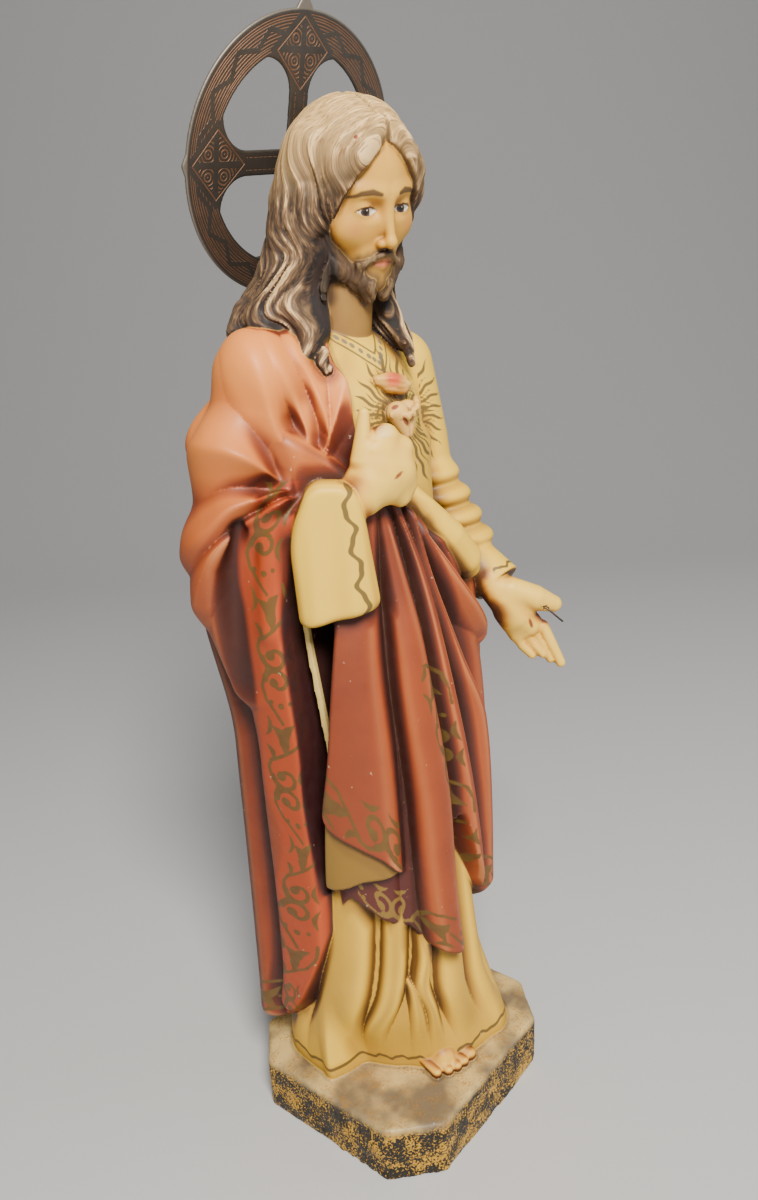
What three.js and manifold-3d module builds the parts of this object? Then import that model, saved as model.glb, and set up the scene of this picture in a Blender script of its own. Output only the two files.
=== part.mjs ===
// Sacred heart statue: a robed figure cast in one with its chamfered base, and a flat metal halo
// pinned to the back of its head. The left thumb is broken and its reinforcing wire shows.
// Millimetres, +Z up, the figure faces -Y, and the origin is the centre of the underside.
import * as THREE from "three";
import { mergeVertices } from "three/addons/utils/BufferGeometryUtils.js";
import Module from "manifold-3d";

// Driving dimensions. The carving is written for a figure 430 mm tall and follows FIGURE_HEIGHT.
const FIGURE_HEIGHT = 430;
const CARVED_HEIGHT = 430;
const BASE_WIDTH = 122;
const BASE_DEPTH = 114;
const BASE_HEIGHT = 28;
const BASE_CHAMFER = 20;
const HALO_RADIUS = 53;
const HALO_RIM = 12.8;
const HALO_THICKNESS = 1.4;
const HALO_ARM = 9.2;
const HALO_FILLET = 1.5;
const HALO_FLARE = 12.4;
const HALO_TOP_TIP = 5.5;
const HALO_SIDE_TIP = 1.6;
const HALO_TILT = 19;
const HALO_TURN = -5;
const HALO_LEAN = 5;
const PIN_RADIUS = 1.1;
const PIN_LENGTH = 9;
const WIRE_RADIUS = 0.45;
const WIRE_SHOWN = 7;
const WIRE_SUNK = 6;
const CLEARANCE = 0.3;
const SUNK_INTO_BASE = 3;
const WINDOW_STEPS = 6;

const SCALE = FIGURE_HEIGHT / CARVED_HEIGHT;
const DEGREES = 180 / Math.PI;

const clamp = (value, low, high) => Math.min(Math.max(value, low), high);
const mix = (a, b, share) => a + (b - a) * share;
const turn = (angle) => angle - 360 * Math.round(angle / 360);
const length = (x, y, z) => Math.sqrt(x * x + y * y + z * z);

function smoothStep(low, high, value) {
  const share = clamp((value - low) / (high - low), 0, 1);
  return share * share * (3 - 2 * share);
}

function smoothMin(a, b, reach) {
  const h = Math.max(reach - Math.abs(a - b), 0) / reach;
  return Math.min(a, b) - (h * h * reach) / 4;
}

const smoothMax = (a, b, reach) => -smoothMin(-a, -b, reach);

// A smooth curve through [place, value] knots, flat beyond both ends.
function profile(knots) {
  const last = knots.length - 1;
  return (place) => {
    if (place <= knots[0][0]) return knots[0][1];
    if (place >= knots[last][0]) return knots[last][1];
    let i = 1;
    while (knots[i][0] < place) i++;
    const [low, high] = [knots[i - 1], knots[i]];
    const before = knots[Math.max(i - 2, 0)];
    const after = knots[Math.min(i + 1, last)];
    const span = high[0] - low[0];
    const t = (place - low[0]) / span;
    const slopeLow = ((high[1] - before[1]) / (high[0] - before[0])) * span;
    const slopeHigh = ((after[1] - low[1]) / (after[0] - low[0])) * span;
    return (
      (2 * t ** 3 - 3 * t ** 2 + 1) * low[1] +
      (t ** 3 - 2 * t ** 2 + t) * slopeLow +
      (3 * t ** 2 - 2 * t ** 3) * high[1] +
      (t ** 3 - t ** 2) * slopeHigh
    );
  };
}

// The same round the body: the angle runs from 0 in front to 90 on the figure's right side.
function ringProfile(knots) {
  const wrapped = [...knots, [knots[0][0] + 360, knots[0][1]]];
  const curve = profile(wrapped);
  return (angle) => {
    let place = angle;
    while (place < wrapped[0][0]) place += 360;
    while (place > wrapped[0][0] + 360) place -= 360;
    return curve(place);
  };
}

function ellipsoid(x, y, z, centre, radii) {
  const [px, py, pz] = [x - centre[0], y - centre[1], z - centre[2]];
  const [rx, ry, rz] = radii;
  const near = length(px / rx, py / ry, pz / rz);
  const slope = length(px / (rx * rx), py / (ry * ry), pz / (rz * rz));
  return slope < 1e-9 ? -Math.min(rx, ry, rz) : (near * (near - 1)) / slope;
}

// A round limb between two points, thicker at one end than the other.
function limb(x, y, z, from, to, radiusFrom, radiusTo) {
  const [ax, ay, az] = [to[0] - from[0], to[1] - from[1], to[2] - from[2]];
  const [px, py, pz] = [x - from[0], y - from[1], z - from[2]];
  const t = clamp((px * ax + py * ay + pz * az) / (ax * ax + ay * ay + az * az), 0, 1);
  return length(px - ax * t, py - ay * t, pz - az * t) - mix(radiusFrom, radiusTo, t);
}

// A chain of limbs through [x, y, z, radius] knots.
function chain(x, y, z, knots) {
  let nearest = Infinity;
  for (let i = 1; i < knots.length; i++) {
    const [a, b] = [knots[i - 1], knots[i]];
    nearest = Math.min(nearest, limb(x, y, z, a, b, a[3], b[3]));
  }
  return nearest;
}

// The standing body, from the hem at 0 to the neck: where its middle is and how wide and deep it is.
const bodyMiddle = profile([[0, -1], [20, 2], [60, 5], [120, 6], [220, 8], [280, 12], [345, 18]]);
const bodyWidth = profile([
  [0, 44], [20, 41], [60, 39], [120, 40], [170, 42], [220, 42], [250, 40], [280, 41], [312, 44],
  [330, 38], [345, 24], [356, 14],
]);
const bodyDepth = profile([
  [0, 41], [20, 38], [60, 36], [120, 35], [170, 34], [220, 32], [250, 30], [280, 30], [310, 30.5],
  [330, 26], [345, 18], [356, 12],
]);
const BODY_SQUARENESS = 2.2;

function bodyRadius(angle, z) {
  const radians = angle / DEGREES;
  const across = Math.abs(Math.sin(radians)) / bodyWidth(z);
  const deep = Math.abs(Math.cos(radians)) / bodyDepth(z);
  return (across ** BODY_SQUARENESS + deep ** BODY_SQUARENESS) ** (-1 / BODY_SQUARENESS);
}

// A fold is a ridge that runs down the cloth: height, angle, half width in degrees and how far it
// stands out, at its top and then at its foot. Ridges that meet leave a sharp valley between them.
const FOLD_END = 12;

function foldHeight(folds, angle, z) {
  let height = 0;
  for (const [topZ, topAngle, topHalf, topOut, footZ, footAngle, footHalf, footOut] of folds) {
    if (z > topZ + FOLD_END || z < footZ - FOLD_END) continue;
    const share = clamp((z - topZ) / (footZ - topZ), 0, 1);
    const eased = share * share * (3 - 2 * share);
    const away = Math.abs(turn(angle - mix(topAngle, footAngle, eased))) / mix(topHalf, footHalf, share);
    if (away >= 1) continue;
    const ends = smoothStep(topZ + FOLD_END, topZ, z) * smoothStep(footZ - FOLD_END, footZ, z);
    height = Math.max(height, mix(topOut, footOut, share) * (1 - away * away) * ends);
  }
  return height;
}

const TUNIC_FOLDS = [
  [110, 72, 12, 5, 0, 90, 13, 8],
  [112, 45, 14, 5, 0, 62, 14, 4],
  [110, 20, 14, 6, 4, 27, 15, 4],
  [110, -3, 13, 6, 0, -26, 17, 9],
  [110, -30, 15, 6, 0, -58, 17, 8],
  [110, -62, 15, 5, 0, -84, 15, 7],
  [110, -95, 15, 4, 0, -112, 15, 6],
  [110, -128, 15, 4, 0, -140, 15, 5],
  [110, -160, 15, 4, 0, -166, 15, 5],
  [110, 168, 14, 4, 0, 164, 15, 6],
  [110, 138, 14, 4, 0, 134, 14, 7],
  [110, 108, 13, 4, 0, 112, 12, 6],
];
const TUNIC_TOP = 300;
const HEM_FLARE = 28;
const STEEPNESS = 0.65;
const hemReach = ringProfile([
  [-180, 2], [-120, 4], [-76, 6], [-40, 5], [-18, 4], [4, -1], [40, -5], [70, -3], [92, 4], [112, 5], [135, 7],
]);

function tunic(x, y, z) {
  if (z > TUNIC_TOP + 20) return z - TUNIC_TOP;
  const forward = y - bodyMiddle(z);
  const angle = Math.atan2(-x, -forward) * DEGREES;
  const flare = smoothStep(HEM_FLARE, 0, z);
  const out = bodyRadius(angle, z) + foldHeight(TUNIC_FOLDS, angle, z) + hemReach(angle) * flare;
  return smoothMax((length(x, forward, 0) - out) * STEEPNESS, z - TUNIC_TOP, 6);
}

const MANTLE_FOLDS = [
  [285, 38, 6, 4, 113, 57, 22, 11],
  [284, 30, 5, 4, 150, 26, 10, 10],
  [160, 24, 10, 10, 62, 10, 13, 12],
  [282, 22, 6, 5, 100, -2, 10, 8],
  [278, 13, 7, 5, 96, -14, 12, 11],
  [268, 1, 9, 6, 84, -36, 13, 11],
  [256, -20, 12, 7, 76, -60, 14, 10],
  [246, -46, 15, 9, 68, -86, 15, 9],
  [240, -76, 16, 8, 58, -110, 15, 9],
  [262, -108, 16, 6, 50, -132, 15, 9],
  [290, -140, 16, 5, 42, -156, 15, 9],
  [312, -168, 16, 5, 36, -182, 15, 9],
  [312, 160, 15, 5, 28, 154, 13, 9],
  [262, 132, 15, 6, 20, 130, 13, 11],
  [250, 110, 11, 5, 34, 112, 11, 8],
  [250, 93, 11, 5, 62, 94, 10, 6],
];
const MANTLE_OUT = 5;
const MANTLE_FADE = [300, 345];
const SLIT_MIDDLE = 80;
const SLIT_HALF = profile([[60, 10], [110, 8], [150, 5], [225, 4], [250, 2]]);
const SLIT_TOP = 246;

// Where the mantle's cloth ends below and above, round the body.
const mantleHem = ringProfile([
  [-180, 36], [-150, 44], [-120, 56], [-90, 68], [-60, 76], [-35, 82], [-16, 92], [-7, 100], [-3, 72],
  [3, 63], [13, 70], [26, 79], [40, 91], [56, 104], [68, 126], [82, 76], [88, 66], [100, 44],
  [113, 29], [129, 18], [150, 26],
]);
const mantleTop = ringProfile([
  [-180, 342], [-150, 326], [-110, 280], [-80, 238], [-48, 240], [-20, 260], [0, 270], [20, 279], [38, 285],
  [60, 300], [90, 318], [130, 338],
]);
// How far the cloth hangs off the body below the right elbow, with more just under the elbow, and
// over the left hip.
const hangRight = ringProfile([[-180, 2], [-120, 1], [0, 0], [60, 0], [84, -1], [100, 0], [114, 4], [128, 12], [142, 9], [158, 3]]);
const hangElbow = ringProfile([[-180, 0], [60, 0], [74, 8], [90, 9], [110, 11], [128, 14], [145, 9], [165, 2]]);
const hangLeft = ringProfile([[-180, 1], [-120, 3], [-80, 3], [-46, 1], [-24, 1], [0, 0], [120, 0]]);

function mantle(x, y, z) {
  const forward = y - bodyMiddle(z);
  const angle = Math.atan2(-x, -forward) * DEGREES;
  const fade = smoothStep(MANTLE_FADE[1], MANTLE_FADE[0], z);
  const hang =
    hangRight(angle) + hangElbow(angle) * smoothStep(165, 245, z) + hangLeft(angle) * smoothStep(262, 200, z);
  const out = bodyRadius(angle, z) + (MANTLE_OUT + hang + foldHeight(MANTLE_FOLDS, angle, z)) * fade;
  const reach = length(x, forward, 0);
  let cloth = (reach - out) * STEEPNESS;
  cloth = smoothMax(cloth, (mantleHem(angle) - z) * STEEPNESS, 2);
  cloth = smoothMax(cloth, (z - mantleTop(angle)) * STEEPNESS, 3);
  const slit = ((SLIT_HALF(z) - Math.abs(turn(angle - SLIT_MIDDLE))) / DEGREES) * reach;
  return smoothMax(cloth, Math.min(slit, SLIT_TOP - z), 2);
}

const NECK = [[0, 16, 334, 15], [0, 10, 362, 12.5], [0, 6, 380, 13]];
const CHEST = [0, 15, 303];
const CHEST_RADII = [41, 30, 42];
const SHOULDERS = [[-40, 19, 327, 15], [0, 17, 332, 16], [40, 18, 327, 14]];

// The mantle over the right arm, which is bent to the breast. Its folds fan out from the crook of
// the arm over shoulder and elbow: middle and half width of each, by angle seen from the side.
const RIGHT_ARM = [[-40, 20, 326, 17], [-52, 26, 296, 18], [-60, 31, 262, 17], [-58, 12, 266, 13], [-55, 0, 272, 10]];
const CROOK = [-27, 289];
const ARM_FOLDS = [[103, 14], [73, 16], [38, 18], [4, 17], [-24, 14], [-48, 12]];
const ARM_FOLD_DEPTH = 5;

function mantledArm(x, y, z) {
  const [fromCrook, above] = [y - CROOK[0], z - CROOK[1]];
  const far = length(fromCrook, above, 0);
  const angle = Math.atan2(above, fromCrook) * DEGREES;
  let ridge = 0;
  for (const [middle, half] of ARM_FOLDS) {
    const away = turn(angle - middle) / half;
    ridge = Math.max(ridge, 1 - away * away);
  }
  const depth = ARM_FOLD_DEPTH * smoothStep(4, 30, far) * smoothStep(92, 56, far);
  return chain(x, y, z, RIGHT_ARM) - depth * (ridge - 0.4);
}

// The mantle's front edge lies over the right breast, from the neck down to the hand.
const BREAST_EDGE = profile([[280, -20], [310, -22], [335, -21], [352, -15]]);
const BREAST_RADII = CHEST_RADII.map((radius) => radius + 4);

function mantledBreast(x, y, z) {
  return smoothMax(ellipsoid(x, y, z, CHEST, BREAST_RADII), (x - BREAST_EDGE(z)) * 0.9, 3);
}

const LEFT_ARM = [[42, 18, 326, 13], [49, 18, 292, 13.5], [54, 12, 258, 12.5], [55, -8, 238, 11.5], [55, -18, 229, 11]];
const LEFT_WRAP = [[-6, -16, 272, 6], [14, -21, 253, 8.5], [36, -21, 232, 9]];
const LEFT_PUCKERS = { from: [50, 4, 273], step: [1.8, -5, -10], count: 4, radii: [13, 11, 6] };

function leftSleeve(x, y, z) {
  let cloth = smoothMin(chain(x, y, z, LEFT_ARM), chain(x, y, z, LEFT_WRAP), 5);
  const { from, step, count, radii } = LEFT_PUCKERS;
  for (let i = 0; i < count; i++) {
    const centre = [from[0] + step[0] * i, from[1] + step[1] * i, from[2] + step[2] * i];
    cloth = smoothMin(cloth, ellipsoid(x, y, z, centre, radii), 4);
  }
  return cloth;
}

// The wide right sleeve hangs from the wrist as a flat bag, seen on its broad side.
const SLEEVE = { middle: [-44, -13, 266], across: [0.656, -0.755], half: [15, 7.5, 28], round: 5, rise: 0.55 };

function rightSleeve(x, y, z) {
  const { middle, across, half, round, rise } = SLEEVE;
  const [px, py] = [x - middle[0], y - middle[1]];
  const along = px * across[0] + py * across[1];
  const outward = px * across[1] - py * across[0];
  const up = z - middle[2] - rise * along * smoothStep(-half[2], half[2], z - middle[2]);
  const ripple = 1.2 * Math.cos(along * 0.5 + 0.6) * smoothStep(half[2], -half[2], up);
  const a = Math.abs(along) - half[0] + round;
  const b = Math.abs(outward) - half[1] - ripple + round;
  const c = Math.abs(up) - half[2] + round;
  return length(Math.max(a, 0), Math.max(b, 0), Math.max(c, 0)) + Math.min(Math.max(a, b, c), 0) - round;
}

const HEART = { at: [0, -16.5, 308], lobe: 4.2, drop: 10, flames: [6.5, 3.4, 5.5], flamesUp: 12 };

function heart(x, y, z) {
  const [cx, cy, cz] = HEART.at;
  const side = Math.abs(x - cx);
  const body = limb(side, y, z, [2.8, cy, cz + 2], [0.4, cy, cz + 2 - HEART.drop], HEART.lobe, 2.4);
  return Math.min(body, ellipsoid(x, y, z, [cx, cy, cz + HEART.flamesUp], HEART.flames));
}

function drapery(x, y, z) {
  let cast = Math.min(tunic(x, y, z), mantle(x, y, z));
  if (z > 190) {
    cast = smoothMin(cast, ellipsoid(x, y, z, CHEST, CHEST_RADII), 6);
    cast = smoothMin(cast, chain(x, y, z, SHOULDERS), 8);
    cast = smoothMin(cast, leftSleeve(x, y, z), 3);
    const draped = smoothMin(mantledArm(x, y, z), mantledBreast(x, y, z), 6);
    cast = smoothMin(cast, draped, 5);
    cast = Math.min(cast, rightSleeve(x, y, z), heart(x, y, z));
  }
  return Math.max(cast, -SUNK_INTO_BASE - z);
}

// Hands: a palm and the fingers that the statue still has, as [x, y, z, radius] knots.
const RIGHT_HAND = [
  [[-39, -22, 287, 7], [-29, -26, 299, 8], [-18, -28, 311, 9.5]],
  [[-31, -25, 297, 5], [-29, -25, 310, 4], [-28, -22, 320, 3.2]],
  [[-20, -28, 312, 5], [-16, -28, 321, 4.4]],
  [[-14, -29, 311, 5], [-10, -27, 318, 4.2]],
  [[-14, -30, 303, 5], [-8, -27, 304, 4.4], [-9, -22, 299, 4]],
  [[-18, -30, 297, 4.6], [-11, -28, 295, 4.2], [-11, -22, 292, 4]],
];
const LEFT_HAND = [
  [[55, -14, 230, 8], [58, -29, 217, 8.5], [60, -36, 209, 8]],
  [[58, -26, 223, 5], [62, -40, 225, 5], [64, -51, 220, 3.6]],
  [[64, -38, 209, 4], [68, -47, 203, 3.6], [70, -55, 195, 3]],
  [[61, -40, 206, 4], [64, -49, 199, 3.6], [66, -57, 190, 3]],
  [[57, -40, 204, 4], [59, -48, 196, 3.4], [61, -55, 188, 2.9]],
  [[54, -38, 203, 3.8], [55, -44, 196, 3.2], [56, -50, 189, 2.7]],
];
const FINGER_BLEND = 2.5;

function hand(x, y, z, fingers) {
  let flesh = Infinity;
  for (const finger of fingers) flesh = smoothMin(flesh, chain(x, y, z, finger), FINGER_BLEND);
  return flesh;
}

const INSTEP = [[-12, -20, 4, 8], [-11, -34, 4, 6.5]];
const TOE_TIPS = [[-20, -37, 2.4], [-15.5, -40.5, 2.4], [-11, -42.5, 2.4], [-6.5, -43.5, 2.4], [-1, -43, 3.3]];

function foot(x, y, z) {
  let flesh = chain(x, y, z, INSTEP);
  for (const [tipX, tipY, radius] of TOE_TIPS) {
    const root = [mix(-12, tipX, 0.8), tipY + 9, 4];
    flesh = smoothMin(flesh, limb(x, y, z, root, [tipX, tipY, 1.8], radius, radius), 1.5);
  }
  return Math.max(flesh, -SUNK_INTO_BASE - z);
}

// The head is carved upright at its own origin, then bowed forward and turned to its right.
const HEAD_AT = [1.5, 4, 397];
const HEAD_BOW = 17 / DEGREES;
const HEAD_TURN = -13 / DEGREES;

function toHead(x, y, z) {
  const [px, py, pz] = [x - HEAD_AT[0], y - HEAD_AT[1], z - HEAD_AT[2]];
  const across = px * Math.cos(HEAD_TURN) + py * Math.sin(HEAD_TURN);
  const back = -px * Math.sin(HEAD_TURN) + py * Math.cos(HEAD_TURN);
  return [
    across,
    back * Math.cos(HEAD_BOW) + pz * Math.sin(HEAD_BOW),
    -back * Math.sin(HEAD_BOW) + pz * Math.cos(HEAD_BOW),
  ];
}

function face(hx, hy, hz) {
  const side = Math.abs(hx);
  let flesh = ellipsoid(hx, hy, hz, [0, 1, 5], [21.5, 25, 26]);
  flesh = smoothMin(flesh, ellipsoid(hx, hy, hz, [0, -6, -10], [17.5, 18, 22]), 8);
  flesh = smoothMin(flesh, limb(side, hy, hz, [3, -21.5, 7.5], [11, -18.5, 8], 2.8, 2.2), 4);
  flesh = smoothMin(flesh, ellipsoid(side, hy, hz, [11.5, -16.5, -7], [6, 5, 6]), 5);
  flesh = smoothMax(flesh, -ellipsoid(side, hy, hz, [8.2, -25, 1.5], [4.6, 4, 3.2]), 3);
  flesh = smoothMin(flesh, ellipsoid(side, hy, hz, [8.2, -18.6, 1], [4.2, 3.6, 3.4]), 1.5);
  flesh = smoothMin(flesh, limb(hx, hy, hz, [0, -22.5, 5], [0, -28, -10], 1.9, 2.5), 3);
  flesh = smoothMin(flesh, ellipsoid(side, hy, hz, [2.8, -24.5, -11], [2.4, 3, 2.2]), 1.5);
  flesh = smoothMin(flesh, limb(side, hy, hz, [0, -24.3, -18.5], [5, -22.3, -19], 1.9, 1.2), 2);
  return smoothMin(flesh, ellipsoid(hx, hy, hz, [0, -18.5, -28], [7, 6, 6]), 5);
}

function beard(hx, hy, hz) {
  const side = Math.abs(hx);
  let hair = limb(side, hy, hz, [17, -9, -8], [13, -14, -24], 2.6, 4);
  hair = smoothMin(hair, limb(side, hy, hz, [13, -14, -24], [4.6, -20, -31], 4.2, 5), 3);
  hair = smoothMin(hair, limb(side, hy, hz, [4.6, -20, -31], [3.6, -22, -37], 4.4, 3), 2);
  return smoothMin(hair, limb(side, hy, hz, [1.5, -25.6, -15], [8.5, -21.5, -20], 1.5, 1.6), 1.5);
}

// Locks of hair, on the figure's right, behind and on its left, as [x, y, z, radius] knots.
const LOCKS = [
  [[-20, 4, 412, 8], [-23, 5, 392, 9], [-22, 11, 374, 10], [-27, 14, 358, 10], [-34, 13, 346, 8]],
  [[-15, 14, 400, 10], [-18, 20, 376, 11], [-23, 25, 356, 11], [-30, 25, 344, 8]],
  [[-22, -3, 386, 5], [-23, 3, 370, 6], [-27, 0, 355, 7], [-32, -6, 343, 6], [-34, -10, 334, 3.5]],
  [[-24, 6, 360, 7], [-30, 3, 348, 6.5], [-38, -2, 339, 4.5]],
  [[-5, 22, 398, 10], [-7, 27, 374, 11], [-9, 31, 354, 10]],
  [[8, 21, 400, 10], [10, 26, 374, 11], [12, 30, 354, 10]],
  [[18, 12, 404, 9], [21, 16, 380, 10], [25, 20, 358, 9], [31, 20, 345, 6]],
  [[23, 2, 410, 7.5], [24, 2, 390, 8], [22, 6, 372, 8], [26, 5, 356, 7.5], [29, -1, 343, 5.5]],
  [[22, 0, 374, 5], [22, -2, 360, 5.5], [25, -8, 347, 4], [25, -11, 338, 2.5]],
];

const LOCK_BLEND = 3.5;

function hairCap(hx, hy, hz) {
  const cap = ellipsoid(hx, hy, hz, [0, 2.5, 4], [27, 27.5, 29.5]);
  const opening = ellipsoid(hx, hy, hz, [0, -26, -8], [19.5 - 0.16 * hz, 22, 30]);
  return smoothMax(cap, -opening, 3);
}

function head(x, y, z) {
  const [hx, hy, hz] = toHead(x, y, z);
  let hair = smoothMin(hairCap(hx, hy, hz), beard(hx, hy, hz), 1);
  for (const lock of LOCKS) hair = smoothMin(hair, chain(x, y, z, lock), LOCK_BLEND);
  const flesh = smoothMin(face(hx, hy, hz), chain(x, y, z, NECK), 3);
  return smoothMin(hair, flesh, 0.8);
}

// The carving is meshed part by part, each in its box with its own fineness, and joined into one.
const PARTS = [
  { distance: drapery, low: [-88, -60, -9], high: [76, 64, 352], cell: 2.8, triangles: 4900 },
  { distance: head, low: [-52, -44, 315], high: [46, 58, 438], cell: 2.1, triangles: 1900 },
  { distance: (x, y, z) => hand(x, y, z, RIGHT_HAND), low: [-54, -44, 272], high: [0, -8, 330], cell: 1.6, triangles: 420 },
  { distance: (x, y, z) => hand(x, y, z, LEFT_HAND), low: [42, -66, 180], high: [78, -2, 242], cell: 1.6, triangles: 480 },
  { distance: foot, low: [-26, -52, -6], high: [6, -8, 16], cell: 1.5, triangles: 240 },
];

// The corners of a cube, by bit, and the six tetrahedra that fill it round its long diagonal.
const CUBE_TETRAHEDRA = [[0, 1, 3, 7], [0, 3, 2, 7], [0, 2, 6, 7], [0, 6, 4, 7], [0, 4, 5, 7], [0, 5, 1, 7]];
const BLOCK = 4;
const NEAR_BLOCK = 1.6;

// Samples a distance on a grid. A block of cells that the surface can't reach takes its middle's value.
function sample(distance, { low, high, cell }) {
  const [nx, ny, nz] = low.map((value, axis) => Math.ceil((high[axis] - value) / cell) + 1);
  const values = new Float32Array(nx * ny * nz);
  const reach = BLOCK * cell * NEAR_BLOCK;
  for (let k = 0; k < nz; k += BLOCK)
    for (let j = 0; j < ny; j += BLOCK)
      for (let i = 0; i < nx; i += BLOCK) {
        const [mi, mj, mk] = [i + BLOCK / 2, j + BLOCK / 2, k + BLOCK / 2];
        const middle = distance(low[0] + mi * cell, low[1] + mj * cell, low[2] + mk * cell);
        const near = Math.abs(middle) < reach;
        for (let c = k; c < Math.min(k + BLOCK, nz); c++)
          for (let b = j; b < Math.min(j + BLOCK, ny); b++)
            for (let a = i; a < Math.min(i + BLOCK, nx); a++) {
              const value = near ? distance(low[0] + a * cell, low[1] + b * cell, low[2] + c * cell) : middle;
              values[a + nx * (b + ny * c)] = Math.abs(value) < 1e-4 ? 1e-4 : value;
            }
      }
  return { values, counts: [nx, ny, nz], low, cell };
}

// The surface where a sampled distance is zero, as shared points and triangles that face out.
function isosurface({ values, counts: [nx, ny, nz], low, cell }) {
  const points = [];
  const triangles = [];
  const made = new Map();
  const steps = [1, nx, nx + 1, nx * ny, nx * ny + 1, nx * ny + nx, nx * ny + nx + 1];
  const crossing = (from, to) => {
    const [one, two] = from < to ? [from, to] : [to, from];
    const key = one * steps.length + steps.indexOf(two - one);
    const known = made.get(key);
    if (known !== undefined) return known;
    const t = clamp(values[one] / (values[one] - values[two]), 0.12, 0.88);
    points.push(
      low[0] + cell * mix(one % nx, two % nx, t),
      low[1] + cell * mix(Math.floor(one / nx) % ny, Math.floor(two / nx) % ny, t),
      low[2] + cell * mix(Math.floor(one / (nx * ny)), Math.floor(two / (nx * ny)), t),
    );
    made.set(key, points.length / 3 - 1);
    return points.length / 3 - 1;
  };
  const corners = [0, 1, 2, 3, 4, 5, 6, 7].map((bits) => (bits & 1) + nx * ((bits >> 1) & 1) + nx * ny * (bits >> 2));
  for (let k = 0; k < nz - 1; k++)
    for (let j = 0; j < ny - 1; j++)
      for (let i = 0; i < nx - 1; i++) {
        const origin = i + nx * (j + ny * k);
        let inside = 0;
        for (const corner of corners) if (values[origin + corner] < 0) inside++;
        if (inside === 0 || inside === 8) continue;
        for (const tetrahedron of CUBE_TETRAHEDRA)
          cutTetrahedron(tetrahedron.map((bits) => origin + corners[bits]), values, crossing, triangles);
      }
  return { points, triangles };
}

// Adds the faces that part a tetrahedron's inner corners from its outer ones.
function cutTetrahedron(at, values, crossing, triangles) {
  const inner = [0, 1, 2, 3].filter((n) => values[at[n]] < 0);
  const outer = [0, 1, 2, 3].filter((n) => values[at[n]] >= 0);
  if (inner.length === 0 || outer.length === 0) return;
  const cut = (a, b) => crossing(at[a], at[b]);
  const even = isEven([...inner, ...outer]);
  const add = (a, b, c) => triangles.push(a, even ? b : c, even ? c : b);
  if (inner.length === 1) {
    add(cut(inner[0], outer[0]), cut(inner[0], outer[1]), cut(inner[0], outer[2]));
  } else if (inner.length === 3) {
    add(cut(inner[0], outer[0]), cut(inner[1], outer[0]), cut(inner[2], outer[0]));
  } else {
    const [a, b] = [cut(inner[0], outer[0]), cut(inner[0], outer[1])];
    const [c, d] = [cut(inner[1], outer[1]), cut(inner[1], outer[0])];
    add(a, b, c);
    add(a, c, d);
  }
}

function isEven(order) {
  let swaps = 0;
  for (let i = 0; i < order.length; i++)
    for (let j = i + 1; j < order.length; j++) if (order[i] > order[j]) swaps++;
  return swaps % 2 === 0;
}

// Keeps the largest of the closed bodies in a mesh, so that no loose crumb of a carving stays.
function largestBody({ points, triangles }) {
  const parent = Int32Array.from({ length: points.length / 3 }, (_, v) => v);
  const root = (v) => {
    while (parent[v] !== v) {
      parent[v] = parent[parent[v]];
      v = parent[v];
    }
    return v;
  };
  for (let i = 0; i < triangles.length; i += 3) {
    parent[root(triangles[i + 1])] = root(triangles[i]);
    parent[root(triangles[i + 2])] = root(triangles[i]);
  }
  const sizes = new Map();
  for (const v of triangles) sizes.set(root(v), (sizes.get(root(v)) ?? 0) + 1);
  const [largest] = [...sizes].reduce((best, entry) => (entry[1] > best[1] ? entry : best));
  const kept = [];
  for (let i = 0; i < triangles.length; i += 3)
    if (root(triangles[i]) === largest) kept.push(triangles[i], triangles[i + 1], triangles[i + 2]);
  return { points, triangles: kept };
}

// Thins a closed mesh to a number of triangles, by folding away the edges that change its shape
// least. A vertex's quadric holds the planes that it lay on, as ten sums.
function thin({ points, triangles }, target) {
  const count = points.length / 3;
  const faces = Int32Array.from(triangles);
  const around = Array.from({ length: count }, () => []);
  const quadrics = new Float64Array(10 * count);
  for (let f = 0; f < faces.length / 3; f++) {
    addPlane(points, faces, f, quadrics);
    for (let n = 0; n < 3; n++) around[faces[3 * f + n]].push(f);
  }
  const changes = new Int32Array(count);
  const best = new Float64Array(4);
  const heap = [];
  const offer = (a, b) => {
    findBest(quadrics, points, a, b, best);
    push(heap, [best[3], a, b, changes[a] + changes[b]]);
  };
  const neighbours = (v) => {
    const found = [];
    for (const f of around[v])
      for (let n = 3 * f; n < 3 * f + 3; n++) if (faces[n] !== v && !found.includes(faces[n])) found.push(faces[n]);
    return found;
  };
  for (let v = 0; v < count; v++) for (const other of neighbours(v)) if (v < other) offer(v, other);
  let left = faces.length / 3;
  while (left > target && heap.length) {
    const [, a, b, stamp] = pop(heap);
    if (changes[a] + changes[b] !== stamp || !around[a].length || !around[b].length) continue;
    const nearB = neighbours(b);
    const shared = neighbours(a).filter((v) => nearB.includes(v));
    const gone = around[a].filter((f) => around[b].includes(f));
    if (shared.length !== 2 || gone.length !== 2) continue;
    findBest(quadrics, points, a, b, best);
    if (turnsOver(points, faces, around[a], a, b, best) || turnsOver(points, faces, around[b], b, a, best)) continue;
    for (const v of shared) around[v] = around[v].filter((f) => !gone.includes(f));
    for (const f of around[b]) for (let n = 3 * f; n < 3 * f + 3; n++) if (faces[n] === b) faces[n] = a;
    around[a] = [...around[a], ...around[b]].filter((f) => !gone.includes(f));
    around[b] = [];
    for (let axis = 0; axis < 3; axis++) points[3 * a + axis] = best[axis];
    for (let i = 0; i < 10; i++) quadrics[10 * a + i] += quadrics[10 * b + i];
    left -= 2;
    changes[a] += count;
    changes[b] += count;
    for (const other of neighbours(a)) offer(a, other);
  }
  return gather(points, faces, around);
}

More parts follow.
